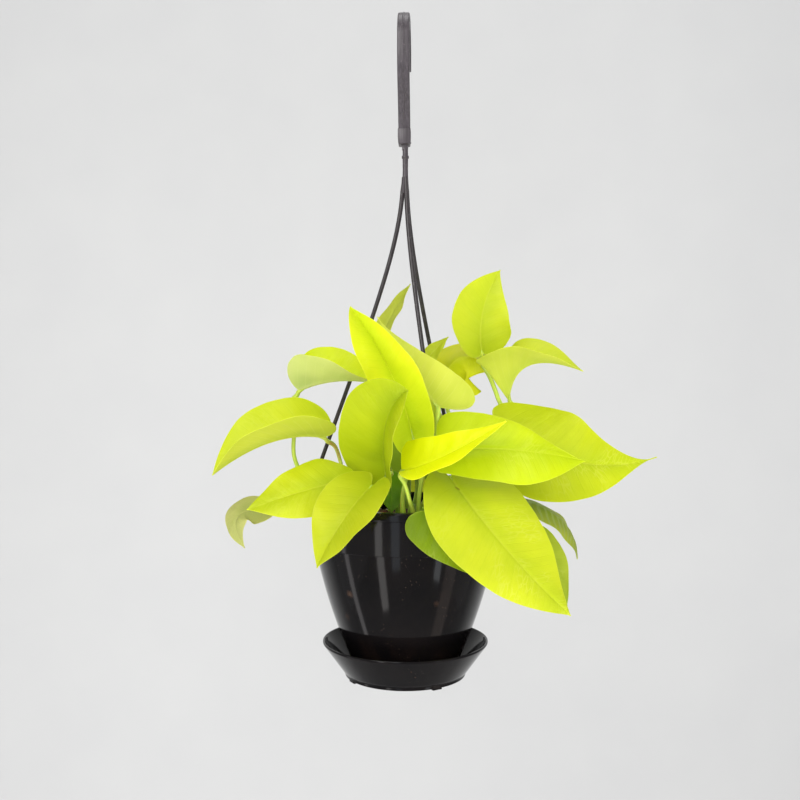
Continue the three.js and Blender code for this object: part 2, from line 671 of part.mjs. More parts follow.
// The stalk from the stem to just under the blade's base.
function petiole(leaf) {
  const { along, up } = bladeAxes(leaf, 0);
  const end = vector(leaf.rib[0]).addScaledVector(along, -2).addScaledVector(up, -2.5);
  const route = [...leaf.petiole.map(vector), end];
  if (leaf.arch) route.splice(-1, 0, end.clone().addScaledVector(along, -leaf.arch).addScaledVector(up, -3));
  return bar(new THREE.CatmullRomCurve3(route), PETIOLE_R, 10, 6);
}

// ---------------------------------------------------------------- vine stems
const STEMS = {
  front: [[3, -48, -349.5], [4, -49, -342], [5, -46, -336]],
  left: [[-29, -29, -349.5], [-31, -27, -342], [-34, -24, -335]],
  right: [[40, -12, -349.5], [43, -12, -342], [46, -10, -334]],
};

function stem(points) {
  return bar(new THREE.CatmullRomCurve3(points.map(vector)), STEM_R, 4);
}

// ---------------------------------------------------------------- assembly
function piece(name, geometry, material) {
  const mesh = new THREE.Mesh(geometry, material);
  mesh.name = name;
  return mesh;
}

function plantInPot() {
  const whole = new THREE.Group();
  const hook = piece("hanger_hook", hangerHook(), HANGER_PLASTIC);
  hook.rotation.z = radians(HOOK_TWIST);
  whole.add(hook);
  for (const [side, azimuth] of Object.entries(STRAND_AZIMUTHS)) {
    whole.add(piece("hanger_strand_" + side, hangerStrand(azimuth), HANGER_PLASTIC));
  }
  whole.add(piece("pot", pot(), POT_PLASTIC));
  whole.add(piece("saucer", saucer(), POT_PLASTIC));
  whole.add(piece("potting_mix", pottingMix(), POTTING_MIX));
  for (const [side, points] of Object.entries(STEMS)) {
    whole.add(piece("stem_" + side, stem(points), STEM_GREEN));
  }
  for (const row of LEAVES) {
    const leaf = { ...USUAL, ...row };
    whole.add(piece("leaf_" + leaf.name, blade(leaf), leaf.colour));
    whole.add(piece("petiole_" + leaf.name, petiole(leaf), PETIOLE_GREEN));
  }
  return whole;
}

export default plantInPot();
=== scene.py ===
import math

import bmesh
import bpy
import numpy as np
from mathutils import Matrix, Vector


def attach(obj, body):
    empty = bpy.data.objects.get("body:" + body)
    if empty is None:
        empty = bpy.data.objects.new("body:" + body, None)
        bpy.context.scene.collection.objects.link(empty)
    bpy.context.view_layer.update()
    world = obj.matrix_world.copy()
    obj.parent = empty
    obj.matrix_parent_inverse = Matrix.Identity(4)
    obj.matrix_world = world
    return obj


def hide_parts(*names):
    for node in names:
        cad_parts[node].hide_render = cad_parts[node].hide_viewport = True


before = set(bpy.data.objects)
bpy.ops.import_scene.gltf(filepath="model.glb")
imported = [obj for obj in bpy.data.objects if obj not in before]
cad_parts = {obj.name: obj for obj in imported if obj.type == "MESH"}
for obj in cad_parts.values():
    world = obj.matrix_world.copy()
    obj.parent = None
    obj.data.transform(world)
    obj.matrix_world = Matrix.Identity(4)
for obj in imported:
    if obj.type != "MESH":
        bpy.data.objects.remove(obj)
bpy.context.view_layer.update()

# ---------------------------------------------------------------- driving values, in millimetres
RIM_Z = -339.0
LIP_R = 73.5
LIP_HEIGHT = 6.0
BAND_TOP_R = 69.5
BAND_BOTTOM_R = 68.2
BAND_HEIGHT = 30.5
BODY_TOP_R = 67.7
BODY_TAPER = 0.19
BODY_BELLY = 0.0015
POT_HEIGHT = 122.0
WALL = 1.8
POT_FOOT_R = 31.0
EAR_RADIUS = 72.5
EAR_R = 4.4
EAR_HOLE_R = 2.1
STRAND_AZIMUTHS = {"back": 53, "left": 173, "front": 291}
SAUCER_RIM_R = 61.7
SAUCER_RIM_Z = -441.6
SAUCER_FOOT_R = 45.3
SAUCER_FLOOR_TOP_Z = -463.4
SAUCER_RING_Z = -467.0
SAUCER_BOTTOM_Z = -468.0
MIX_TOP_Z = -353.0
STRAP_OFFSET = -0.7
HOOK_TWIST = -2.5
HOOK_INNER_R = 17.0
STRAP_DEPTH = 8.5
STRAP_WIDTH = 9.0
HOOK_TIP_DROP = 8.7
STRAP_STRAIGHT_Z = -8.0
HOOK_FOOT_Z = -62.0
STRAND_TOP = (2.1, -106.35)
STRAND_FOOT_Z = -331.5
BARB_TIP_Z = -352.0
DRAIN_HOLES = 6
DRAIN_HOLE_R = 4.0
DRAIN_RING_R = 20.0
SAUCER_PADS = 4
MIX_R = 66.0
CLEARANCE = 0.35
MM = 0.001
MOULD_LINE_Z = RIM_Z - BAND_HEIGHT
POT_BOTTOM_Z = RIM_Z - POT_HEIGHT


# ---------------------------------------------------------------- mesh helpers
def unit(v):
    return v / np.maximum(np.linalg.norm(v, axis=-1, keepdims=True), 1e-12)


def run_lengths(points):
    """The length along a line of points, from its start to each of them."""
    return np.concatenate([[0], np.cumsum(np.linalg.norm(np.diff(points, axis=0), axis=1))])


def polar(r, degrees):
    return r * math.cos(math.radians(degrees)), r * math.sin(math.radians(degrees))


def spun(points, degrees):
    """Points turned about the upright axis."""
    c, s = polar(1, degrees)
    return np.asarray(points) @ np.array([[c, -s, 0], [s, c, 0], [0, 0, 1]]).T


def bezier(corners, count):
    """Points of the cubic Bezier curve with these four corners."""
    t = np.linspace(0, 1, count)[:, None]
    shares = (1 - t) ** 3, 3 * t * (1 - t) ** 2, 3 * t * t * (1 - t), t ** 3
    return sum(share * np.array(p, float) for share, p in zip(shares, corners))


def arrays_of(mesh):
    """The vertices and faces of a bmesh, which is freed."""
    mesh.verts.index_update()
    points = np.array([v.co for v in mesh.verts])
    faces = [[v.index for v in f.verts] for f in mesh.faces]
    mesh.free()
    return points, faces


def mesh_object(name, points_mm, faces, materials, uvs=None, face_slots=None, sharp=50):
    """A mesh from points in millimetres, with smooth shading and sharp edges past an angle."""
    mesh = bpy.data.meshes.new(name)
    mesh.from_pydata([tuple(p) for p in np.asarray(points_mm, float) * MM], [], [tuple(f) for f in faces])
    for material in materials:
        mesh.materials.append(material)
    mesh.polygons.foreach_set("use_smooth", [True] * len(mesh.polygons))
    if face_slots is not None:
        mesh.polygons.foreach_set("material_index", face_slots)
    if uvs:
        corners = np.zeros(len(mesh.loops), np.int32)
        mesh.loops.foreach_get("vertex_index", corners)
        for layer_name, values in uvs.items():
            layer = mesh.uv_layers.new(name=layer_name)
            layer.data.foreach_set("uv", np.asarray(values, np.float32)[corners].ravel())
    mesh.set_sharp_from_angle(angle=math.radians(sharp))
    mesh.validate()
    mesh.update()
    made = bpy.data.objects.new(name, mesh)
    bpy.context.scene.collection.objects.link(made)
    return made


def keep(piece, slot, *nodes):
    """Rides a finished piece on the plant and hides the CAD nodes that it stands for; slot is not used."""
    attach(piece, "root")
    if nodes:
        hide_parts(*nodes)
    return piece


def grid_faces(rows, columns, wrap=False, start=0, flip=False):
    """Faces between rows of points. wrap joins each row's end to its start."""
    faces = []
    for i in range(rows - 1):
        for j in range(columns if wrap else columns - 1):
            a = start + i * columns + j
            b = start + i * columns + (j + 1) % columns
            face = (a, b, b + columns, a + columns)
            faces.append(face[::-1] if flip else face)
    return faces


def closed_faces(rows, columns, flip=False):
    """Faces of a tube of rings, with a cap at each end."""
    first = tuple(range(columns))
    last = tuple((rows - 1) * columns + j for j in range(columns))
    caps = [first, last[::-1]] if flip else [first[::-1], last]
    return grid_faces(rows, columns, wrap=True, flip=flip) + caps


def filleted(profile):
    """[(x, y) or (x, y, radius)] corners as a polyline, each corner with a radius rounded off."""
    points = []
    count = len(profile)
    for i, corner in enumerate(profile):
        p = np.array(corner[:2], float)
        radius = corner[2] if len(corner) > 2 else 0.0
        if radius <= 0 or i in (0, count - 1):
            points.append(p)
            continue
        back = np.array(profile[i - 1][:2], float) - p
        ahead = np.array(profile[i + 1][:2], float) - p
        reach = min(radius, 0.45 * np.linalg.norm(back), 0.45 * np.linalg.norm(ahead))
        a = p + unit(back) * reach
        b = p + unit(ahead) * reach
        for t in np.linspace(0, 1, 6):
            points.append((1 - t) ** 2 * a + 2 * t * (1 - t) * p + t * t * b)
    return np.array(points)


def turned(name, profile, materials, segments=144, centre=(0.0, 0.0), sharp=40):
    """A rounded profile of (radius, z) corners turned about an upright axis."""
    angles = np.linspace(0, 2 * np.pi, segments, endpoint=False)
    rings = []
    for r, z in filleted(profile):
        r = max(r, 0.01)
        x, y = centre[0] + r * np.cos(angles), centre[1] + r * np.sin(angles)
        rings.append(np.stack([x, y, np.full(segments, z)], 1))
    faces = closed_faces(len(rings), segments)
    return mesh_object(name, np.concatenate(rings), faces, materials, sharp=sharp)


def catmull_rom(route, count):
    """Points of a centripetal Catmull-Rom curve through the route."""
    p = [np.array(q, float) for q in route]
    made = []
    last = len(p) - 1
    for k in range(count):
        place = last * k / (count - 1)
        i = min(int(place), last - 1)
        w = place - i
        p0 = p[i - 1] if i > 0 else 2 * p[0] - p[1]
        p3 = p[i + 2] if i + 2 <= last else 2 * p[last] - p[last - 1]
        p1, p2 = p[i], p[i + 1]
        d0, d1, d2 = (max(np.linalg.norm(b - a) ** 0.5, 1e-3) for a, b in ((p0, p1), (p1, p2), (p2, p3)))
        t1 = ((p1 - p0) / d0 - (p2 - p0) / (d0 + d1) + (p2 - p1) / d1) * d1
        t2 = ((p2 - p1) / d1 - (p3 - p1) / (d1 + d2) + (p3 - p2) / d2) * d1
        square, cube = 3 * (p2 - p1) - 2 * t1 - t2, 2 * (p1 - p2) + t1 + t2
        made.append(p1 + t1 * w + square * w * w + cube * w ** 3)
    return np.array(made)


def tube_arrays(points, radii, sides=16, groove=0.0, up=(0, 0, 1)):
    """Vertices, faces and (around, along) coordinates of a closed round tube along points."""
    points = np.asarray(points, float)
    count = len(points)
    radii = np.broadcast_to(radii, (count,))
    tangents = unit(np.gradient(points, axis=0))
    side = np.cross(tangents[0], np.array(up, float))
    if np.linalg.norm(side) < 1e-3:
        side = np.cross(tangents[0], np.array([1.0, 0, 0]))
    side = unit(side)
    vertices, uvs = [], []
    lengths = run_lengths(points)
    angles = np.linspace(0, 2 * np.pi, sides, endpoint=False)
    dent = 1 - groove * np.exp(-(((angles - np.pi / 2) / 0.55) ** 2))
    for i in range(count):
        side = unit(side - tangents[i] * np.dot(side, tangents[i]))
        other = np.cross(side, tangents[i])
        for angle, d in zip(angles, dent):
            r = radii[i] * d
            vertices.append(points[i] + r * (math.cos(angle) * side + math.sin(angle) * other))
            uvs.append((angle / (2 * np.pi), lengths[i] * 0.01))
    return np.array(vertices), closed_faces(count, sides, flip=True), uvs


def joined(name, parts, materials, slots=None, **options):
    """One mesh from several (vertices, faces, uvs) parts."""
    vertices, faces, uvs, face_slots = [], [], [], []
    start = 0
    for k, (v, f, uv) in enumerate(parts):
        vertices.append(v)
        faces += [tuple(start + i for i in face) for face in f]
        face_slots += [slots[k] if slots else 0] * len(f)
        uvs += list(uv)
        start += len(v)
    uvs = {"along": uvs}
    return mesh_object(name, np.concatenate(vertices), faces, materials, uvs, face_slots, **options)


# ---------------------------------------------------------------- materials
# How much of the midrib's and margin's own colours, and of light through the blade, every leaf has.
RIB_SHARE = 0.35
MARGIN_SHARE = 0.45
GLOW_SHARE = 0.35
TRANSLUCENCY = 0.5


def srgb(r, g, b):
    """A display colour, 0 to 255, as linear red, green, blue and alpha."""
    shares = (r / 255, g / 255, b / 255)
    return tuple(c / 12.92 if c <= 0.04045 else ((c + 0.055) / 1.055) ** 2.4 for c in shares) + (1,)


class Shader:
    """A node material, built from small functions that return sockets."""

    def __init__(self, name):
        self.material = bpy.data.materials.new(name)
        self.material.use_nodes = True
        self.tree = self.material.node_tree
        self.tree.nodes.clear()
        self.output = self.tree.nodes.new("ShaderNodeOutputMaterial")
        self.object = self.tree.nodes.new("ShaderNodeTexCoord").outputs["Object"]

    def put(self, socket, value):
        """Links a socket, or sets a number or colour on it."""
        if isinstance(value, bpy.types.NodeSocket):
            self.tree.links.new(value, socket)
        else:
            socket.default_value = value

    def math(self, operation, *values, clamp=False):
        node = self.tree.nodes.new("ShaderNodeMath")
        node.operation = operation
        node.use_clamp = clamp
        for socket, value in zip(node.inputs, values):
            self.put(socket, value)
        return node.outputs[0]

    def plus(self, a, b, clamp=False):
        return self.math("ADD", a, b, clamp=clamp)

    def minus(self, a, b):
        return self.math("SUBTRACT", a, b)

    def times(self, a, b):
        return self.math("MULTIPLY", a, b)

    def parts(self, vector):
        """The x, y and z of a vector."""
        split = self.tree.nodes.new("ShaderNodeSeparateXYZ")
        self.tree.links.new(vector, split.inputs[0])
        return split.outputs

    def uv(self, name):
        node = self.tree.nodes.new("ShaderNodeUVMap")
        node.uv_map = name
        return self.parts(node.outputs[0])[:2]

    def stretched(self, *axes):
        """A vector from (value, scale) pairs."""
        return self.vector(*(self.times(value, scale) for value, scale in axes))

    def vector(self, x, y, z=0.0):
        node = self.tree.nodes.new("ShaderNodeCombineXYZ")
        for socket, value in zip(node.inputs, (x, y, z)):
            self.put(socket, value)
        return node.outputs[0]

    def noise(self, scale, detail=3.0, roughness=0.5, vector=None, distortion=0.0):
        node = self.tree.nodes.new("ShaderNodeTexNoise")
        node.inputs["Scale"].default_value = scale
        node.inputs["Detail"].default_value = detail
        node.inputs["Roughness"].default_value = roughness
        node.inputs["Distortion"].default_value = distortion
        self.put(node.inputs["Vector"], vector or self.object)
        return node.outputs[0]

    def cells(self, scale, vector=None, feature="F1"):
        node = self.tree.nodes.new("ShaderNodeTexVoronoi")
        node.feature = feature
        node.inputs["Scale"].default_value = scale
        self.put(node.inputs["Vector"], vector or self.object)
        return node.outputs

    def steps(self, value, low, high, to_low=0.0, to_high=1.0):
        """value eased from low to high, onto to_low to to_high."""
        node = self.tree.nodes.new("ShaderNodeMapRange")
        node.interpolation_type = "SMOOTHSTEP"
        for socket, number in zip(node.inputs, (value, low, high, to_low, to_high)):
            self.put(socket, number)
        return node.outputs[0]

    def fades(self, value, low, high):
        """1 where value is below low, eased to 0 at high."""
        return self.steps(value, low, high, 1.0, 0.0)

    def specks(self, scale, inner, outer, patches, low, high):
        """Small round specks, only in the patches where a coarser noise is high."""
        return self.times(self.fades(self.cells(scale)[0], inner, outer), self.steps(patches, low, high))

    def mix(self, share, a, b, blend="MIX"):
        node = self.tree.nodes.new("ShaderNodeMix")
        node.data_type = "RGBA"
        node.blend_type = blend
        self.put(node.inputs[0], share)
        self.put(node.inputs[6], a)
        self.put(node.inputs[7], b)
        return node.outputs[2]

    def bump(self, height, distance, strength=1.0, normal=None):
        node = self.tree.nodes.new("ShaderNodeBump")
        node.inputs["Strength"].default_value = strength
        node.inputs["Distance"].default_value = distance
        self.put(node.inputs["Height"], height)
        if normal is not None:
            self.put(node.inputs["Normal"], normal)
        return node.outputs[0]

    def principled(self, colour, roughness, normal, **others):
        node = self.tree.nodes.new("ShaderNodeBsdfPrincipled")
        values = {"Base_Color": colour, "Roughness": roughness, "Normal": normal, **others}
        for key, value in values.items():
            self.put(node.inputs[key.replace("_", " ")], value)
        return node.outputs[0]

    def finish(self, surface):
        self.tree.links.new(surface, self.output.inputs[0])
        return self.material


def leaf_material(name, look, under):
    """A waxy leaf side. The uv map "leaf" holds lengths along and across the blade, and "edge" the
    distance in from the margin and the share of the way to the tip."""
    s = Shader(name)
    along, across = (s.times(c, 100.0) for c in s.uv("leaf"))
    across = s.minus(across, 50.0)
    inward, share = s.uv("edge")
    inward = s.times(inward, 10.0)
    off = s.math("ABSOLUTE", across)

    base, deep, pale = (srgb(*look[k]) for k in ("base", "deep", "pale"))
    cloud = s.noise(38.0, 4.0, 0.55)
    grain = s.noise(210.0, 4.0, 0.6)
    # Veins leave the midrib at a slant and curve towards the tip.
    slant = s.times(s.math("POWER", off, 0.86), 0.95)
    wobble = s.times(s.minus(cloud, 0.5), 4.0)
    course = s.plus(s.minus(along, slant), wobble)
    main = s.fades(s.math("PINGPONG", course, look["spacing"] / 2), 0.0, 0.75)
    fine = s.fades(s.math("PINGPONG", s.plus(course, 1.1), look["spacing"] / 6), 0.0, 0.5)
    streak = s.noise(1.0, 5.0, 0.62, s.stretched((course, 0.9), (off, 0.07)))
    fade = s.times(s.steps(inward, 0.5, 9.0), s.steps(off, 0.0, 3.0, 0.5, 1.0))

    # Colour: clouds of the deeper green and fine streaks along the veins. Painted shade: a deeper green
    # along the midrib, where the halves fold, partly the leaf's own deeper tone there, and towards the
    # blade's heart-shaped base.
    rib_painted_shade = s.steps(off, 0.0, 15.0, look["rib_shade"], 0.0)
    heart = s.steps(share, 0.0, 0.55, look["heart_shade"], 0.0)
    deeper = s.plus(s.times(s.steps(cloud, 0.3, 0.75), look["cloud"]), rib_painted_shade)
    deeper = s.plus(deeper, heart, clamp=True)
    colour = s.mix(deeper, base, deep)
    colour = s.mix(s.times(s.steps(streak, 0.35, 0.75), look["streak"]), colour, deep)
    colour = s.mix(s.times(s.steps(streak, 0.62, 0.3), look["streak"]), colour, pale)
    colour = s.mix(s.times(s.times(main, fade), look["vein"]), colour, pale if under else deep)
    if "stripe" in look:
        band = s.math("PINGPONG", s.plus(course, s.times(s.noise(60.0, 2.0), 5.0)), 2.6)
        colour = s.mix(s.steps(band, 1.3, 1.9, 0.0, 0.75), colour, srgb(*look["stripe"]))
    # Painted sheen: patches of a bluish highlight colour painted into the blade's colour.
    if "sheen" in look:
        gloss = s.steps(s.noise(30.0, 2.0, 0.4), 0.4, 0.7)
        colour = s.mix(s.times(gloss, 0.35), colour, srgb(*look["sheen"]))
    rib_width = s.steps(share, 0.0, 1.0, 1.5 if under else 0.95, 0.25)
    rib_line = s.fades(s.math("DIVIDE", off, rib_width), 0.35, 1.0)
    colour = s.mix(s.times(rib_line, RIB_SHARE), colour, srgb(*look["rib_colour"]))
    colour = s.mix(s.steps(inward, 0.1, 0.6, MARGIN_SHARE, 0.0), colour, srgb(*look["margin_colour"]))
    # A pale net between the veins, in patches towards the tip.
    net_at = s.stretched((course, 0.34), (off, 0.15), (cloud, 2.2))
    net = s.fades(s.cells(1.0, net_at, "DISTANCE_TO_EDGE")[0], 0.02, 0.12)
    net = s.times(net, s.steps(s.noise(46.0, 2.0), 0.47, 0.62))
    net = s.times(net, s.steps(share, 0.2, 0.6, 0.35, 1.0))
    colour = s.mix(s.times(net, look["net"]), colour, pale)
    if "blemish" in look:
        down, aside = look["blemish"]
        gone = s.math("POWER", s.minus(along, down), 2.0)
        gone = s.plus(gone, s.math("POWER", s.minus(across, aside), 2.0))
        spot = s.steps(s.plus(gone, s.times(grain, 2.0)), 1.0, 3.4, 0.7, 0.0)
        colour = s.mix(spot, colour, srgb(150, 122, 44))
    speck = s.steps(s.cells(330.0)[0], 0.02, 0.09, 0.4, 0.0)
    speck = s.times(speck, s.steps(s.noise(26.0, 1.0), 0.52, 0.68))
    colour = s.mix(speck, colour, deep)

    # Relief: raised veins below and sunk ones above, pores, and a soft unevenness.
    raised = s.times(s.plus(s.times(main, 0.8), s.times(fine, 0.25)), fade)
    raised = s.times(raised, 1.0 if under else -1.0)
    normal = s.bump(raised, 0.00018, 0.4)
    normal = s.bump(streak, 0.0003, 0.14, normal)
    normal = s.bump(grain, 0.00012, 0.25, normal)
    normal = s.bump(s.noise(1500.0, 2.0), 0.00003, 0.35, normal)

    wax = look["roughness"] + (0.1 if under else 0.0)
    roughness = s.plus(s.times(s.minus(grain, 0.5), 0.22), wax)
    surface = s.principled(colour, roughness, normal, Specular_IOR_Level=0.32)
    through = s.tree.nodes.new("ShaderNodeBsdfTranslucent")
    s.put(through.inputs["Color"], s.mix(GLOW_SHARE, colour, srgb(*look["glow"])))
    s.put(through.inputs["Normal"], normal)
    both = s.tree.nodes.new("ShaderNodeMixShader")
    both.inputs[0].default_value = TRANSLUCENCY
    s.tree.links.new(surface, both.inputs[1])
    s.tree.links.new(through.outputs[0], both.inputs[2])
    return s.finish(both.outputs[0])


def stalk_material(name, light, dark, blush=None):
    """A petiole or stem: fine lines along it, darker towards its foot, with a few pale pores."""
    s = Shader(name)
    around, along = s.uv("along")
    lines = s.noise(1.0, 4.0, 0.6, s.stretched((around, 26.0), (along, 3.2)))
    cloud = s.noise(70.0, 3.0)
    colour = s.mix(s.steps(lines, 0.35, 0.7), srgb(*light), srgb(*dark))
    colour = s.mix(s.times(s.fades(along, 0.0, 0.14), 0.6), colour, srgb(*dark))
    if blush:
        side = s.steps(s.math("ABSOLUTE", s.minus(around, 0.5)), 0.02, 0.2, 0.75, 0.0)
        colour = s.mix(s.times(side, s.steps(cloud, 0.35, 0.6)), colour, srgb(*blush))
    colour = s.mix(s.steps(s.cells(420.0)[0], 0.03, 0.12, 0.5, 0.0), colour, srgb(225, 232, 150))
    normal = s.bump(lines, 0.0003, 0.4)
    normal = s.bump(s.noise(900.0, 2.0), 0.00004, 0.4, normal)
    roughness = s.plus(s.times(cloud, 0.16), 0.34)
    soft = {"Subsurface_Weight": 0.18, "Subsurface_Scale": 0.0015}
    return s.finish(s.principled(colour, roughness, normal, **soft))


def pot_material(name, brown_streaks_at, dust, gloss):
    """Gloss near-black moulded plastic: faint flow marks, fine scratches, dust specks, and brown streaks
    that are strongest where the mask function (shader, height, distance from the axis) gives 1. On the
    pot's foot these brown streaks are a painted reflection."""
    s = Shader(name)
    x, y, height = s.parts(s.object)
    from_axis = s.math("SQRT", s.plus(s.times(x, x), s.times(y, y)))
    cloud = s.noise(24.0, 4.0, 0.55)
    run = s.noise(1.0, 4.0, 0.6, s.stretched((x, 60.0), (y, 60.0), (height, 9.0)))
    colour = s.mix(s.steps(cloud, 0.3, 0.75), srgb(11, 10, 11), srgb(19, 16, 16))
    # Brown streaks: on the pot's foot a painted reflection, inside the saucer brownish streaks.
    brown_streaks = s.times(brown_streaks_at(s, height, from_axis), s.steps(run, 0.45, 0.8))
    colour = s.mix(s.times(brown_streaks, 0.32), colour, srgb(74, 52, 40))
    drip = s.times(s.steps(run, 0.6, 0.78), s.steps(s.noise(30.0, 3.0), 0.5, 0.7))
    colour = s.mix(s.times(drip, 0.3), colour, srgb(74, 56, 48))
    dots = s.specks(380.0, 0.05, 0.14, s.noise(60.0, 2.0), 0.5, 0.62)
    colour = s.mix(s.times(dots, 0.32 * dust), colour, srgb(134, 112, 96))
    grit = s.specks(150.0, 0.03, 0.1, s.noise(34.0, 2.0), 0.57, 0.63)
    colour = s.mix(s.times(grit, 0.4 * dust), colour, srgb(120, 84, 60))
    blot = s.specks(52.0, 0.04, 0.22, s.noise(70.0, 4.0, 0.65), 0.48, 0.6)
    blot = s.times(blot, s.steps(s.noise(15.0, 2.0), 0.56, 0.64))
    colour = s.mix(s.times(blot, 0.28 * dust), colour, srgb(104, 74, 54))
    hair = s.steps(s.noise(1.0, 2.0, 0.5, s.stretched((x, 900.0), (height, 60.0))), 0.6, 0.72)
    rough = s.plus(s.times(s.plus(brown_streaks, blot), 0.22), s.times(hair, 0.04))
    rough = s.plus(rough, s.times(s.noise(120.0, 3.0), 0.05))
    normal = s.bump(cloud, 0.0004, 0.15)
    normal = s.bump(run, 0.0003, 0.1, normal)
    normal = s.bump(s.plus(dots, grit), 0.0001, 0.4, normal)
    return s.finish(s.principled(colour, s.plus(rough, 0.07), normal, Specular_IOR_Level=gloss))


def pot_foot_reflection(s, height, from_axis):
    """Towards the pot's foot, where the brown streaks are a painted reflection."""
    return s.fades(height, -0.458, -0.425)


def saucer_dish_streaks(s, height, from_axis):
    """Only inside the dish, whose wall leans out from the foot to the rim."""
    wall = s.plus(s.times(s.plus(height, -SAUCER_FLOOR_TOP_Z * MM), 0.72), SAUCER_FOOT_R * MM)
    return s.fades(s.minus(from_axis, wall), -0.0022, -0.0012)


def hanger_material(name, dark, light):
    """Satin charcoal plastic with drawn flow lines along its height and light scuffs."""
    s = Shader(name)
    x, y, height = s.parts(s.object)
    flow = s.noise(1.0, 3.0, 0.55, s.stretched((x, 900.0), (y, 900.0), (height, 30.0)))
    cloud = s.noise(60.0, 3.0)
    colour = s.mix(s.steps(flow, 0.3, 0.75), srgb(*dark), srgb(*light))
    colour = s.mix(s.times(s.steps(cloud, 0.5, 0.8), 0.2), colour, srgb(*dark))
    scuff = s.times(s.steps(s.noise(420.0, 3.0), 0.64, 0.74), 0.2)
    colour = s.mix(scuff, colour, srgb(146, 138, 140))
    normal = s.bump(flow, 0.0002, 0.25)
    normal = s.bump(s.noise(1200.0, 2.0), 0.00004, 0.4, normal)
    return s.finish(s.principled(colour, s.plus(s.times(flow, 0.14), 0.28), normal))


def mix_material(name, tone, spread):
    """Damp peat and bark: each bit has its own shade, set by the noise where it lies."""
    s = Shader(name)
    patch = s.noise(420.0, 5.0, 0.7)
    bit = s.cells(260.0)[1]
    colour = s.mix(s.steps(patch, 0.3, 0.7), srgb(*tone), srgb(*spread))
    colour = s.mix(0.25, colour, bit, "SOFT_LIGHT")
    normal = s.bump(patch, 0.0012, 0.9)
    normal = s.bump(s.noise(1600.0, 4.0), 0.0003, 0.7, normal)
    return s.finish(s.principled(colour, s.plus(s.times(patch, 0.2), 0.75), normal))


# ---------------------------------------------------------------- leaves, in mm, as in the CAD source
# rib is the midrib's base, middle and tip, face the way the upper side faces at the base and at the tip,
# and petiole the stalk's route up from the mix. fold and curl, in degrees, raise the blade's halves from
# the midrib. heel, widest, side and tip shape the outline, with a pair where the two halves differ. lobe
# sets the heart-shaped base back, arch bows the stalk's end, and wave, waves and quilt ripple the blade.
USUAL = {
    "curl": 0, "lobe": 0.15, "heel": 0.58, "widest": 0.3, "side": 2.1, "tip": 1.15, "arch": 7,
    "wave": 0.8, "waves": 2.6, "quilt": 0.16, "corner": 7.0,
}


def leaf_row(name, slot, **shape):
    """A leaf, with the usual value of all that its shape doesn't give."""
    return {**USUAL, "name": name, "slot": slot, **shape}


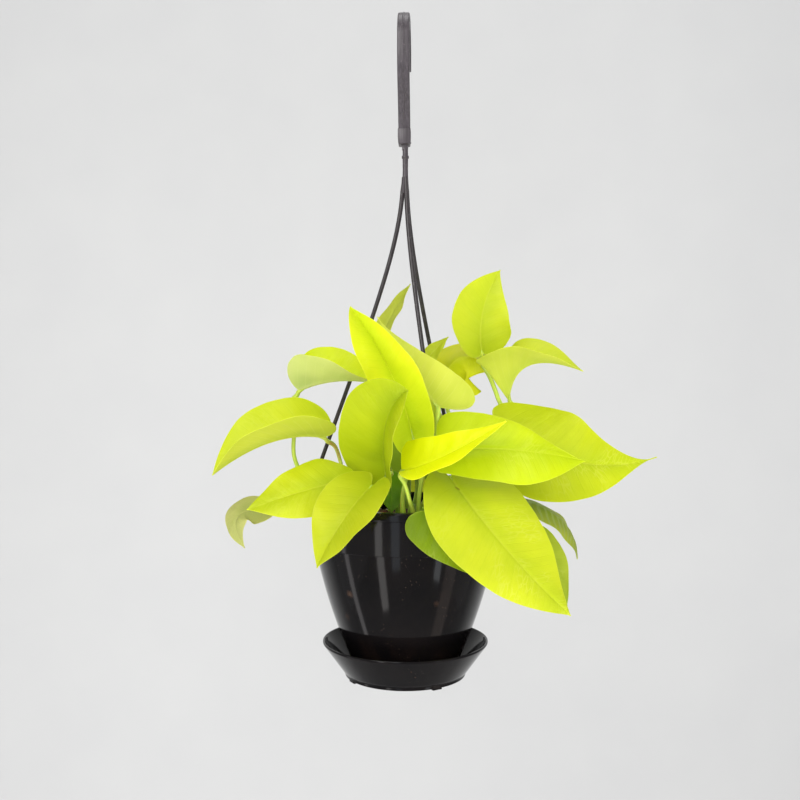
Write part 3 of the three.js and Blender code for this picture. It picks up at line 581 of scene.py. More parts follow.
LEAVES = [
    leaf_row("front_large", "leaf_neon", width=69, fold=[8, 4], curl=-14, heel=[0.7, 0.3], lobe=0.1,
             rib=[[30, -68, -315], [64, -104, -358], [102, -116, -397]], face=[[0.1, -0.8, 0.6]],
             petiole=[[14, -56, -344], [17, -66, -333], [22, -68, -323]], arch=0),
    leaf_row("front_low", "leaf_lime", width=48, fold=[4, 4], curl=-10, heel=[0.58, 0.85],
             widest=[0.3, 0.16], tip=[1.15, 1.9], lobe=0.08,
             rib=[[16, -76, -336], [41, -86, -360], [71, -94, -391]], face=[[-0.1, -0.85, 0.5]],
             petiole=[[11, -58, -345], [12, -67, -337]], arch=2),
    leaf_row("front_bright", "leaf_neon", width=[40, 31], fold=[16, 16], curl=4, heel=[1, 0.15],
             widest=[0.04, 0.3], lobe=0.02,
             rib=[[-3, -88, -309], [25, -104, -298], [62, -116, -276]],
             face=[[-0.4, -0.7, 0.7], [0, -0.7, 0.7]],
             petiole=[[6, -60, -344], [3, -66, -333], [-1, -76, -319]], arch=3),
    leaf_row("front_left", "leaf_lime", width=61, fold=[36, 32], heel=[0.5, 0.15], widest=[0.3, 0.5],
             side=3.2, tip=0.9,
             rib=[[-14, -54, -314], [-13, -88, -277], [1, -106, -257]], face=[[-0.45, -0.85, 0.2]],
             petiole=[[-22, -30, -344], [-27, -42, -328]], arch=3),
    leaf_row("front_down", "leaf_lime", width=48, fold=[18, 18], heel=[0.35, 0.58],
             rib=[[-23, -78, -320], [-41, -97, -341], [-57, -102, -370]], face=[[-0.38, -0.8, 0.55]],
             petiole=[[-29, -34, -344], [-29, -54, -330]]),
    leaf_row("left_low", "leaf_neon", width=44, fold=[6, 6], curl=-14, heel=[0.58, 0.35], lobe=0.06,
             rib=[[-38, -65, -316], [-72, -73, -325], [-106, -76, -336]], face=[[-0.1, -0.8, 0.55]],
             petiole=[[-36, -36, -344], [-35, -50, -328]]),
    leaf_row("left_back", "leaf_olive", width=27, fold=[6, 6], curl=-10, heel=0.3,
             rib=[[-101, -26, -342], [-120, -34, -347], [-114, -38, -368]], face=[[-0.6, -0.7, 0.4]],
             petiole=[[-38, -26, -343], [-66, -22, -335]]),
    leaf_row("left_arch", "leaf_neon", width=60, fold=[46, 40], curl=4, side=3, lobe=0.05,
             rib=[[-57, -40, -289], [-94, -50, -292], [-134, -52, -315]], face=[[-0.1, -0.35, 0.93]],
             petiole=[[-38, -31, -343], [-44, -38, -315]]),
    leaf_row("left_high", "leaf_lime", width=56, fold=[74, 28], lobe=0.03,
             rib=[[-78, -18, -256], [-49, -30, -249], [-17, -36, -252]],
             face=[[0, -0.15, 1], [0, -0.45, 0.9]],
             petiole=[[-38, -20, -343], [-66, -17, -330], [-81, -16, -306], [-81, -17, -280]]),
    leaf_row("top_left", "leaf_neon", width=46, fold=[40, 44], side=[3.6, 2.1], tip=[0.8, 1.15],
             rib=[[4, -66, -285], [-12, -74, -241], [-37, -78, -201]], face=[[0, -1, 0.1]],
             petiole=[[-2, -51, -344], [-2, -53, -328], [3, -58, -305]]),
    leaf_row("top_pale", "leaf_lime", width=52, fold=[6, 4], heel=[1, 0.4], widest=[0.06, 0.2],
             tip=1.7, lobe=0.2,
             rib=[[22, -60, -268], [4, -50, -243], [-20, -37, -204]], face=[[0.1, 0.9, 0.3]],
             petiole=[[15, -48, -344], [17, -58, -318], [20.5, -62.5, -292]], arch=0),
    leaf_row("top_thin", "leaf_olive", width=22, fold=[10, 10],
             rib=[[-24, 18, -224], [-10, 27, -196], [4, 30, -172]], face=[[-0.7, -0.6, 0.3]],
             petiole=[[-6, 27, -348], [-18, 24, -286]]),
    leaf_row("top_right", "leaf_neon", width=45, fold=[10, 14], curl=6, heel=[0.45, 0.62],
             widest=[0.44, 0.26], lobe=0.02,
             rib=[[57, -8, -229], [57, -12, -198], [70, -10, -167]], face=[[0, -0.95, 0.3]],
             petiole=[[42, -4, -343], [75, -1, -280], [69, -2, -261], [63, -4, -246]]),
    leaf_row("right_trumpet", "leaf_lime", width=[50, 72], fold=[62, 17], heel=[0.15, 1],
             widest=[0.5, 0.04], side=[2.1, 2.4], lobe=-0.25,
             rib=[[77, 0, -263], [91, -12, -237], [129, -22, -242]],
             face=[[-0.8, -0.05, 0.6], [0, -0.2, 1]],
             petiole=[[48, -4, -343], [74, 4, -305], [80, 1, -280]]),
    leaf_row("right_inner", "leaf_olive", width=62, fold=[-33, -33], heel=[0.5, 1], lobe=0,
             rib=[[30, 8, -243], [46, 6, -230], [66, 2, -242]], face=[[0, -0.8, 0.6]],
             petiole=[[34, -2, -343], [37, 10, -290]]),
    leaf_row("top_small", "leaf_olive", width=15, fold=[8, 8],
             rib=[[11, -6, -240], [20, -6, -228], [32, -6, -216]], face=[[-0.3, -0.8, 0.4]],
             petiole=[[2, 33, -348], [4, 28, -296], [6, 16, -256]], arch=3),
    leaf_row("right_mid", "leaf_neon", width=[54, 46], fold=[2, 2], curl=-8, heel=[0.95, 0.66],
             widest=[0.12, 0.55], tip=[1.8, 1.15], lobe=0.04,
             rib=[[22, -77, -296], [69, -96, -295], [114, -102, -302]], face=[[0.05, -0.92, 0.4]],
             petiole=[[9, -54, -344], [9, -58, -330], [12, -60, -314]], arch=0),
    leaf_row("right_far", "leaf_neon", width=74, fold=[8, 6], curl=-8, heel=0.6, tip=2.5,
             rib=[[69, -22, -287], [123, -46, -307], [176, -44, -303]], face=[[0.1, -0.9, 0.42]],
             petiole=[[44, -18, -343], [54, -16, -305]]),
    leaf_row("right_drop", "leaf_olive", width=38, fold=[-10, -10],
             rib=[[83, -30, -334], [111, -38, -349], [122, -36, -376]], face=[[0.7, -0.3, 0.6]],
             petiole=[[50, -14, -343], [64, -20, -329]]),
    leaf_row("right_low", "leaf_lime", width=30, fold=[8, 8],
             rib=[[80, -62, -354], [96, -72, -372], [108, -72, -401]], face=[[0.3, -0.8, 0.5]],
             petiole=[[48, -22, -343], [66, -44, -332]]),
    leaf_row("inner_dark", "leaf_shade", width=21, fold=[8, 8], lobe=0.08,
             rib=[[-12, -36, -316], [-10, -40, -329], [-10, -38, -343]], face=[[0.3, -0.9, 0.2]],
             petiole=[[-5, -24, -345], [-8, -25, -325]]),
    leaf_row("inner_back", "leaf_shade", width=42, fold=[10, 10],
             rib=[[8, 12, -316], [4, 8, -288], [-3, 14, -263]], face=[[0, -1, 0.15]],
             petiole=[[6, 19, -348], [9, 19, -331]], arch=3),
    leaf_row("back_left", "leaf_lime", width=44, fold=[8, 8], curl=-8,
             rib=[[-30, 22, -324], [-50, 48, -326], [-62, 72, -342]], face=[[-0.3, 0.6, 0.75]],
             petiole=[[-11, 22, -348], [-18, 18, -334]]),
    leaf_row("back_centre", "leaf_lime", width=50, fold=[8, 6], curl=-8,
             rib=[[0, 62, -312], [4, 88, -330], [8, 96, -362]], face=[[0, 0.8, 0.6]],
             petiole=[[-2, 40, -348], [0, 46, -320]]),
    leaf_row("back_right", "leaf_lime", width=40, fold=[8, 6], curl=-8,
             rib=[[54, 32, -296], [70, 48, -288], [88, 66, -300]], face=[[0.3, 0.6, 0.8]],
             petiole=[[12, 27, -348], [30, 26, -316]]),
]

# ---------------------------------------------------------------- looks
# Display colour of each leaf's two sides, 0 to 255. A leaf's other tones are worked out from these.
# depth says how much darker it gets in places. Lengths are in millimetres.
USUAL_UPPER = (222, 228, 40)
# Partly painted light: inner_dark and inner_back, which lie in shade, and the underside of left_high are
# painted lighter than the leaf's own colour.
UPPER = {
    "front_large": (230, 236, 50), "front_low": (155, 180, 18), "front_bright": (248, 250, 12),
    "front_left": (205, 216, 28), "front_down": (220, 226, 40), "left_low": (225, 232, 35),
    "left_back": (214, 212, 138), "left_arch": (232, 240, 48), "left_high": (230, 240, 25),
    "top_left": (246, 250, 45), "top_pale": (215, 225, 60), "top_thin": (218, 222, 85),
    "top_right": (222, 230, 52), "right_trumpet": (225, 232, 65), "right_inner": (238, 238, 34),
    "top_small": (215, 222, 45), "right_mid": (222, 234, 20), "right_far": (220, 228, 36),
    "right_drop": (200, 208, 72), "right_low": (196, 208, 62), "inner_dark": (155, 200, 36),
    "inner_back": (180, 205, 62),
}
UNDER = {
    "left_arch": (225, 228, 85), "left_high": (246, 248, 175), "top_pale": (236, 238, 96),
    "right_trumpet": (244, 248, 104),
}
UNDER_PALE = (214, 220, 118)  # the other lower sides are blended towards this
UNDER_SHARE = 0.3
# Vein spacing, and how strongly each effect shows where a leaf's row in SPECIAL says nothing else.
# rib_shade and heart_shade set how much shade is painted along the midrib and towards the blade's base.
USUAL_LOOK = {
    "spacing": 6.4, "rib_shade": 0.35, "heart_shade": 0.25, "cloud": 0.3, "streak": 0.07, "vein": 0.1,
    "net": 0.16, "roughness": 0.42,
}
SPECIAL = {
    "front_large": {"spacing": 7.0, "blemish": (10.0, 0.8), "net": 0.4},
    "front_low": {"net": 0.85, "depth": 1.5},
    "front_bright": {"heart_shade": 0.05, "rib_shade": 0.15, "cloud": 0.15, "depth": 0.6},
    "front_left": {"rib_shade": 0.5},
    "top_left": {"rib_shade": 0.6, "heart_shade": 0.7},
    "right_far": {"net": 0.4},
    "right_mid": {"net": 0.3},
    "right_drop": {"depth": 2.2, "stripe": (190, 204, 110)},
    "right_low": {"depth": 1.8, "net": 0.5},
    # inner_dark's sheen is a painted highlight colour.
    "inner_dark": {"depth": 2.0, "sheen": (130, 158, 120), "roughness": 0.34},
}


def blend(share, a, b):
    return tuple((1 - share) * x + share * y for x, y in zip(a, b))


def tones(base, depth):
    """The tones of a leaf side that come from its main colour."""
    red, green, blue = base
    return {
        "base": base,
        "deep": (red * (1 - 0.16 * depth), green * (1 - 0.1 * depth), blue * (1 - 0.25 * depth)),
        "pale": blend(0.35, base, (252, 252, 190)),
        "rib_colour": blend(0.3, base, (250, 250, 170)),
        "margin_colour": blend(0.4, base, (250, 250, 165)),
        "glow": (red, green, blue * 0.7),
    }


def leaf_looks(name):
    """The looks of a leaf's upper and lower side."""
    special = SPECIAL.get(name, {})
    upper = UPPER.get(name, USUAL_UPPER)
    under = UNDER.get(name) or blend(UNDER_SHARE, upper, UNDER_PALE)
    above = {**USUAL_LOOK, **tones(upper, special.get("depth", 1.0)), **special}
    below = {**USUAL_LOOK, **tones(under, 0.8), "vein": 0.25, "streak": 0.06}
    return above, below


# ---------------------------------------------------------------- blades
LEAST_HALF_WIDTH = 0.4
BLADE_HALF_THICKNESS = 0.3
BLADE_ROWS, BLADE_COLUMNS = 76, 49


def of_side(value, v):
    """A value that may be a pair, one for each half of the blade."""
    return np.where(v > 0, value[1], value[0]) if isinstance(value, list) else np.full_like(v, value)


def half_width(leaf, s, v):
    """The blade's half width at the share s of its length, on the side that v's sign gives."""
    keys = ("width", "heel", "widest", "side", "tip")
    width, heel, widest, side, tip = (of_side(leaf[key], v) for key in keys)
    past = np.clip((s - widest) / (1 - widest), 0, 1)
    rising = heel + (1 - heel) * np.sin((np.pi / 2) * np.clip(s / widest, 0, 1))
    share = np.where(s < widest, rising, (1 - past ** side) ** tip)
    return np.maximum(width / 2 * share, LEAST_HALF_WIDTH)


class Midrib:
    """The quadratic curve through a leaf's base, middle and tip, with the blade's axes along it."""

    def __init__(self, leaf):
        base, middle, tip = (np.array(p, float) for p in leaf["rib"])
        self.p = base, 2 * middle - (base + tip) / 2, tip
        self.faces = np.array(leaf["face"][0], float), np.array(leaf["face"][-1], float)
        steps = self.at(np.linspace(0, 1, 200))
        self.length = np.linalg.norm(np.diff(steps, axis=0), axis=1).sum()

    def at(self, t):
        t = np.asarray(t)[..., None]
        return (1 - t) ** 2 * self.p[0] + 2 * t * (1 - t) * self.p[1] + t * t * self.p[2]

    def axes(self, t):
        t = np.clip(np.asarray(t), 0, 1)[..., None]
        along = unit(2 * (1 - t) * (self.p[1] - self.p[0]) + 2 * t * (self.p[2] - self.p[1]))
        facing = self.faces[0] * (1 - t) + self.faces[1] * t
        across = unit(np.cross(along, facing))
        return along, across, np.cross(across, along)


def blade_arrays(leaf, seed):
    """Vertices, faces, uv layers and face slots of one blade: slot 0 above, slot 1 below."""
    draw = np.random.default_rng(seed)
    rib = Midrib(leaf)
    t = np.linspace(0, 1, BLADE_ROWS)
    u = np.linspace(-1, 1, BLADE_COLUMNS)
    s, v = np.meshgrid(t - 0.07 * np.sin(2 * np.pi * t), u * (0.6 + 0.4 * np.abs(u)), indexing="ij")
    side = np.abs(v)
    share = s - leaf["lobe"] * (1 - s) ** 3 * np.sin((np.pi / 2) * side)
    along, across, up = rib.axes(share)
    centre = rib.at(np.maximum(share, 0)) + along * (np.minimum(share, 0) * rib.length)[..., None]
    half = half_width(leaf, s, v)
    corner = np.minimum(leaf["corner"], half * 0.45)
    inside = np.clip(corner - s * rib.length, 0, None)
    half = half - (corner - np.sqrt(np.maximum(corner ** 2 - inside ** 2, 0)))
    phase = draw.uniform(0, 2 * np.pi, 4)
    ripple = 1 + 0.006 * np.sin(7 * np.pi * s + phase[0] + np.sign(v))
    ripple += 0.0025 * np.sin(17 * np.pi * s + phase[1])
    half = half * np.where(s > 0.02, ripple, 1)
    fold = np.radians(leaf["fold"][0] * (1 - s) + leaf["fold"][1] * s)
    bend = np.radians(leaf["curl"]) * side
    reach = half * side
    turn = fold + bend / 2
    sideways = across * (np.sign(v) * reach * np.cos(turn))[..., None]
    points = centre + sideways + up * (reach * np.sin(turn))[..., None]
    slope = np.where(side > 0, fold + bend, 0)
    out = up * np.cos(slope)[..., None] - across * (np.sign(v) * np.sin(slope))[..., None]

    distance = s * rib.length
    course = distance - 0.95 * reach ** 0.86
    body = np.sin(np.pi * np.clip(side, 0, 1)) ** 0.7 * np.sin(np.pi * np.clip(s, 0, 1)) ** 0.5
    quilt = leaf["quilt"] * np.sin(2 * np.pi * course / 12.8 + phase[2]) * body
    rolling = 0.5 * np.sin(2 * np.pi * (1.4 * s + 0.35 * v) + phase[3]) * body
    wave_at = 2 * np.pi * (leaf["waves"] * s) + np.where(v > 0, phase[0], phase[1])
    wave = leaf["wave"] * side ** 2.5 * np.sin(wave_at) * np.sin(np.pi * s) ** 0.6
    common = quilt + rolling + wave
    thick = BLADE_HALF_THICKNESS * (1 - 0.6 * side ** 4) + 0.03
    groove = 0.5 * np.exp(-((reach / 1.3) ** 2)) * (1 - 0.8 * s)
    keel = (0.95 - 0.75 * s) * np.exp(-((reach / 1.05) ** 2)) * np.clip(s * 20 + 0.3, 0, 1)
    upper = points + out * (common + thick - groove)[..., None]
    lower = points + out * (common - thick - keel)[..., None]

    layer = BLADE_ROWS * BLADE_COLUMNS
    faces = grid_faces(BLADE_ROWS, BLADE_COLUMNS)
    slots = [0] * len(faces)
    faces += grid_faces(BLADE_ROWS, BLADE_COLUMNS, start=layer, flip=True)
    slots += [1] * (len(faces) - len(slots))
    at = lambda i, j: i * BLADE_COLUMNS + j
    rim = []
    last_row, last_column = BLADE_ROWS - 1, BLADE_COLUMNS - 1
    rim += [(at(0, j), at(0, j + 1)) for j in range(last_column)]
    rim += [(at(last_row, j + 1), at(last_row, j)) for j in range(last_column)]
    rim += [(at(i + 1, 0), at(i, 0)) for i in range(last_row)]
    rim += [(at(i, last_column), at(i + 1, last_column)) for i in range(last_row)]
    faces += [(a, a + layer, b + layer, b) for a, b in rim]
    slots += [0] * len(rim)

    inward = np.minimum((1 - side) * half, distance + np.where(side < 0.12, 9, 0))
    leaf_uv = np.stack([distance * 0.01, np.sign(v) * reach * 0.01 + 0.5], -1).reshape(-1, 2)
    edge_uv = np.stack([inward * 0.1, s], -1).reshape(-1, 2)
    uvs = {"leaf": np.concatenate([leaf_uv] * 2), "edge": np.concatenate([edge_uv] * 2)}
    return np.concatenate([upper.reshape(-1, 3), lower.reshape(-1, 3)]), faces, uvs, slots


def petiole_points(leaf):
    """The stalk's route, as in the CAD source, run on into the underside of the blade's base."""
    rib = Midrib(leaf)
    along, across, up = rib.axes(0.0)
    base = np.array(leaf["rib"][0], float)
    end = base - 2 * along - 2.5 * up
    route = [np.array(p, float) for p in leaf["petiole"]]
    if leaf["arch"]:
        route.append(end - leaf["arch"] * along - 3 * up)
    route.append(end)
    landing = [end + 0.5 * (base - end), base + 1.5 * along - 0.9 * up, base + 5 * along - 0.9 * up]
    return catmull_rom(route, 44), landing, up


def petiole(leaf, material):
    """The stalk: swollen at its foot and near the blade, grooved above, thinned out under the midrib."""
    points, landing, up = petiole_points(leaf)
    tail = catmull_rom([points[-3], points[-1], *landing], 12)[4:]
    points = np.concatenate([points[:-1], tail])
    lengths = run_lengths(points)
    t = lengths / lengths[-1]
    left = lengths[-1] - lengths
    thick = 1.0 + 0.0023 * min(lengths[-1], 150)
    radii = 1.28 * thick + 1.0 * np.exp(-t / 0.1) + 0.32 * np.exp(-(((left - 11) / 4.5) ** 2))
    radii *= np.clip(0.3 + left / 7, 0, 1)
    arrays = tube_arrays(points, radii, 18, 0.16, up)
    return joined("petiole_" + leaf["name"] + "_stalk", [arrays], [material], sharp=60)


# ---------------------------------------------------------------- pot and saucer
def body_radius(below):
    """The pot body's outside radius at a depth below its mould line."""
    return BODY_TOP_R - BODY_TAPER * below - BODY_BELLY * below * below


def cut(target, tool, operation="DIFFERENCE"):
    """Applies a boolean of the tool on the target, and removes the tool."""
    modifier = target.modifiers.new("cut", "BOOLEAN")
    modifier.operation = operation
    modifier.solver = "EXACT"
    modifier.object = tool
    graph = bpy.context.evaluated_depsgraph_get()
    made = bpy.data.meshes.new_from_object(target.evaluated_get(graph))
    target.modifiers.clear()
    target.data = made
    bpy.data.objects.remove(tool)
    made.polygons.foreach_set("use_smooth", [True] * len(made.polygons))
    made.set_sharp_from_angle(angle=math.radians(35))


def drill(target, radius, low, high, centre, material):
    """Cuts an upright round hole."""
    hole = [(0, low), (radius, low), (radius, high), (0, high)]
    cut(target, turned("hole", hole, [material], 32, centre))


def make_pot(material):
    below = np.linspace(POT_HEIGHT - BAND_HEIGHT, 0, 26)
    outside = [(body_radius(b), MOULD_LINE_Z - b) for b in below]
    inside = [(body_radius(b) - WALL, MOULD_LINE_Z - b) for b in below[::-1] if b < below[0] - 2]
    floor_z = POT_BOTTOM_Z + 2
    profile = [
        (0, POT_BOTTOM_Z), (POT_FOOT_R - WALL, POT_BOTTOM_Z, 0.5),
        (POT_FOOT_R - WALL, POT_BOTTOM_Z - 2.1, 0.5), (POT_FOOT_R, POT_BOTTOM_Z - 2.1, 0.5),
        (POT_FOOT_R, POT_BOTTOM_Z, 0.4), (outside[0][0], outside[0][1], 1.6),
        *outside[1:], (BAND_BOTTOM_R, MOULD_LINE_Z + 0.35, 0.25),
        (BAND_TOP_R, RIM_Z - WALL, 0.8), (LIP_R - 1.6, RIM_Z - WALL, 0.8),
        (LIP_R - 1.6, RIM_Z - LIP_HEIGHT, 0.4), (LIP_R - 0.2, RIM_Z - LIP_HEIGHT, 1.0),
        (LIP_R, RIM_Z - LIP_HEIGHT + 1.4, 1.2), (LIP_R - 0.2, RIM_Z, 1.6),
        (BAND_TOP_R - WALL + 0.2, RIM_Z, 0.9), (BAND_TOP_R - WALL, RIM_Z - 1.6, 0.5),
        *inside, (body_radius(below[0] - 2) - WALL - 1, floor_z, 2.0), (0, floor_z),
    ]
    pot = turned("pot_shell", profile, [material], 160)
    ears = [polar(EAR_RADIUS, azimuth) for azimuth in STRAND_AZIMUTHS.values()]
    ear_low, ear_high = RIM_Z - LIP_HEIGHT - 0.05, RIM_Z - 0.3
    for centre in ears:
        ear = [(0, ear_low), (EAR_R, ear_low, 0.6), (EAR_R, ear_high, 0.9), (0, ear_high)]
        cut(pot, turned("ear", ear, [material], 48, centre), "UNION")
    mouth_r = BAND_TOP_R - WALL + 0.02
    inner = turned("inner", [
        (0, RIM_Z - 20), (BAND_TOP_R - WALL - 0.9, RIM_Z - 20), (mouth_r, RIM_Z - 1.7),
        (mouth_r, RIM_Z + 4), (0, RIM_Z + 4)], [material], 160)
    cut(pot, inner)
    for centre in ears:
        drill(pot, EAR_HOLE_R, RIM_Z - 14, RIM_Z + 3, centre, material)
    for i in range(DRAIN_HOLES):
        drill(pot, DRAIN_HOLE_R, POT_BOTTOM_Z - 4, floor_z + 3, polar(DRAIN_RING_R, 60 * i), material)
    return keep(pot, "pot_plastic", "pot")


def make_saucer(material):
    low = SAUCER_FLOOR_TOP_Z - 2
    collar = POT_FOOT_R + CLEARANCE
    profile = [
        (0, low), (SAUCER_FOOT_R - 2.8, low, 0.4), (SAUCER_FOOT_R - 2.8, SAUCER_RING_Z, 0.4),
        (SAUCER_FOOT_R - 0.2, SAUCER_RING_Z, 0.6), (SAUCER_FOOT_R, low + 0.8, 0.5),
        (SAUCER_FOOT_R + 1.4, SAUCER_FLOOR_TOP_Z, 2.5), (SAUCER_RIM_R - 1, SAUCER_RIM_Z - 2.6, 1.2),
        (SAUCER_RIM_R, SAUCER_RIM_Z - 1.2, 0.7), (SAUCER_RIM_R - 0.2, SAUCER_RIM_Z, 0.6),
        (SAUCER_RIM_R - 1.4, SAUCER_RIM_Z, 0.6), (SAUCER_RIM_R - 2.5, SAUCER_RIM_Z - 2.2, 1.2),
        (SAUCER_FOOT_R + 0.4, SAUCER_FLOOR_TOP_Z, 2.5), (collar + 1.7, SAUCER_FLOOR_TOP_Z, 0.8),
        (collar + 1.7, POT_BOTTOM_Z - CLEARANCE, 0.5), (collar, POT_BOTTOM_Z - CLEARANCE, 0.4),
        (collar, SAUCER_FLOOR_TOP_Z, 0.3), (0, SAUCER_FLOOR_TOP_Z),
    ]
    saucer = turned("saucer_dish", profile, [material], 160)
    for i in range(SAUCER_PADS):
        mesh = bmesh.new()
        bmesh.ops.create_cube(mesh, size=1.0)
        bmesh.ops.scale(mesh, vec=(2.6, 7.5, 1.6), verts=mesh.verts)
        bmesh.ops.bevel(mesh, geom=mesh.edges[:], offset=0.35, segments=3, affect="EDGES", profile=0.5)
        points, faces = arrays_of(mesh)
        points += (SAUCER_FOOT_R - 1.5, 0, SAUCER_BOTTOM_Z + 0.8)
        foot = mesh_object("foot", spun(points, -60 + 90 * i), faces, [material])
        cut(saucer, foot, "UNION")
    return keep(saucer, "pot_plastic", "saucer")


# ---------------------------------------------------------------- hanger
def strap_line():
    """Centre line of the strap in the plane x = 0: back tip, over the bar, down the front, inwards."""
    r = HOOK_INNER_R + STRAP_DEPTH / 2
    back = np.linspace([0, r, -HOOK_TIP_DROP], [0, r, 0], 8)[:-1]
    angles = np.linspace(0, np.pi, 60)
    over = np.stack([0 * angles, r * np.cos(angles), r * np.sin(angles)], 1)
    front = np.linspace([0, -r, 0], [0, -r, STRAP_STRAIGHT_Z], 6)[1:-1]
    sweep = bezier([[0, -r, STRAP_STRAIGHT_Z], [0, -r, -32], [0, -7, -36], [0, 0, HOOK_FOOT_Z]], 40)
    return np.concatenate([back, over, front, sweep])


def turn_hook(points):
    return spun(points, HOOK_TWIST)


def make_strap(material):
    """The channel-shaped strap: a ridged section carried along the strap's line, narrowed at its tip."""
    line = strap_line()
    w, d = STRAP_WIDTH / 2, STRAP_DEPTH / 2
    flange = d - 2.2
    right = filleted([
        (d + 0.35, 0), (d + 0.35, 0.35, 0.25), (d, 0.7, 0.4), (d, w - 0.3, 1.2), (flange, w, 0.6),
        (flange - 0.6, w - 1.1, 0.5), (-flange + 0.6, w - 1.1, 0.5), (-flange, w, 0.6),
        (-d, w - 0.2, 1.0), (-d, 0)])
    section = np.concatenate([right, (right * (1, -1))[::-1][1:-1]])
    tangents = unit(np.gradient(line, axis=0))
    outward = np.stack([0 * tangents[:, 0], tangents[:, 2], -tangents[:, 1]], 1)
    lengths = run_lengths(line)
    taper = np.minimum(1, 0.55 + 3.2 * lengths / lengths[-1])
    rings = [c + np.outer(section[:, 0] * k, o) + np.outer(section[:, 1], (1, 0, 0))
             for c, o, k in zip(line, outward, taper)]
    faces = closed_faces(len(line), len(section))
    points = turn_hook(np.concatenate(rings) + (STRAP_OFFSET, 0, 0))
    return mesh_object("hanger_strap", points, faces, [material], sharp=35)


def make_crown(material):
    """The block under the strap, its web that runs down into the neck, and the ringed neck."""
    mesh = bmesh.new()
    outline = [(-4.8, -60.5), (-4.8, -67), (-4.35, -72), (4.35, -72), (4.8, -67), (4.8, -60.5)]
    front = [mesh.verts.new((x, -5.2, z)) for x, z in outline]
    base = mesh.faces.new(front)
    moved = bmesh.ops.extrude_face_region(mesh, geom=[base])["geom"]
    moved = [v for v in moved if isinstance(v, bmesh.types.BMVert)]
    bmesh.ops.translate(mesh, vec=(0, 10.4, 0), verts=moved)
    bmesh.ops.recalc_face_normals(mesh, faces=mesh.faces[:])
    bmesh.ops.bevel(mesh, geom=mesh.edges[:], offset=0.55, segments=3, affect="EDGES", profile=0.5)
    points, faces = arrays_of(mesh)
    crown = mesh_object("hanger_crown", turn_hook(points + (STRAP_OFFSET, 0, 0)), faces, [material])
    # Web: a plate with concave flanks, from the block's width down to the neck's.
    t = np.linspace(0, 1, 18)
    flank = np.stack([2.05 + 2.7 * (1 - np.sqrt(1 - (1 - t) ** 2)), -70.2 - 5.2 * t], 1)
    loop = np.concatenate([flank, (flank * (-1, 1))[::-1]])
    count = len(loop)
    plates = [np.stack([loop[:, 0], np.full(count, y), loop[:, 1]], 1) for y in (-2.0, 2.0)]
    points = np.concatenate(plates)
    faces = [tuple(range(count)), tuple(range(count, 2 * count))[::-1]]
    faces += [(i, i + count, (i + 1) % count + count, (i + 1) % count) for i in range(count)]
    web = mesh_object("web", turn_hook(points + (STRAP_OFFSET * 0.5, 0, 0)), faces, [material])
    cut(crown, web, "UNION")
    neck = turned("neck", [
        (0, -108), (2.4, -108), (2.5, -104, 3), (2.0, -92.5, 6), (2.1, -82.3, 0.4), (2.7, -81.8, 0.35),
        (2.7, -80.2, 0.35), (2.1, -79.6, 0.4), (2.05, -74.5, 1.5), (2.9, -70.8), (0, -70.8)], [material], 48)
    cut(crown, neck, "UNION")
    return crown


def strand_line(azimuth, count=90):
    """Centre line of a strand, which bows out from the neck to its ear."""
    rz = bezier([STRAND_TOP, (5.5, -155), (30, -215), (EAR_RADIUS, STRAND_FOOT_Z)], count)
    c, s = polar(1, azimuth)
    return np.stack([rz[:, 0] * c, rz[:, 0] * s, rz[:, 1]], 1)


def make_strand(side, azimuth, material):
    """A tapered rod from the neck, ending in a collar above its ear and a barb below it."""
    line = strand_line(azimuth)
    head = np.array([[*polar(1.15, azimuth), -96.0], [*polar(1.35, azimuth), -101.0]])
    line = np.concatenate([head, line])
    radii = np.linspace(1.72, 1.5, len(line))
    radii[:2] = 1.5, 1.65
    strand = joined("hanger_strand_" + side + "_rod", [tube_arrays(line, radii, 20)], [material])
    clip = turned("clip", [
        (0, BARB_TIP_Z), (0.7, BARB_TIP_Z, 0.3), (2.6, -346.6, 0.4), (2.6, -345.5, 0.3), (1.7, -345.0, 0.3),
        (1.7, RIM_Z, 0.3), (2.9, RIM_Z + 0.3, 0.3), (2.9, -334.8, 0.9), (2.3, -331.6, 0.9),
        (1.4, -329.8, 0.5), (0, -329.8)], [material], 32, polar(EAR_RADIUS, azimuth))
    cut(strand, clip, "UNION")
    return keep(strand, "hanger_plastic", "hanger_strand_" + side)


# ---------------------------------------------------------------- potting mix and stems
def mix_height(r):
    """The mix is heaped a little towards the middle."""
    return MIX_TOP_Z + 3 * (1 - np.clip(r / MIX_R, 0, 1) ** 1.8)


def make_mix(material):
    """The bed of mix: an uneven top, and sides that follow the pot's inside."""
    rings, segments = 70, 150
    draw = np.random.default_rng(5)
    bumps = draw.uniform(-1, 1, (26, 4))
    radii = np.concatenate([np.linspace(0.2, MIX_R - 0.8, rings - 1), [MIX_R]])
    angles = np.linspace(0, 2 * np.pi, segments, endpoint=False)
    r, a = np.meshgrid(radii, angles, indexing="ij")
    x, y = r * np.cos(a), r * np.sin(a)
    z = mix_height(r)
    for kx, ky, phase, size in bumps:
        z = z + 0.28 * size * np.sin(kx * 0.55 * x + ky * 0.55 * y + 6 * phase)
    z = z + draw.normal(0, 0.22, z.shape) * (r < 65)
    z[-1] = MIX_TOP_Z - 3
    top = np.stack([x, y, z], -1).reshape(-1, 3)
    below = np.linspace(0, POT_HEIGHT - BAND_HEIGHT - 2.4, 14)
    sides = []
    for b in below:
        q = body_radius(b) - WALL - 0.4
        level = np.full(segments, MOULD_LINE_Z - b)
        sides.append(np.stack([q * np.cos(angles), q * np.sin(angles), level], 1))
    points = np.concatenate([top, *sides])
    faces = closed_faces(rings + len(sides), segments, flip=True)
    mix = mesh_object("potting_mix_bed", points, faces, [material], sharp=80)
    return keep(mix, "potting_mix", "potting_mix")


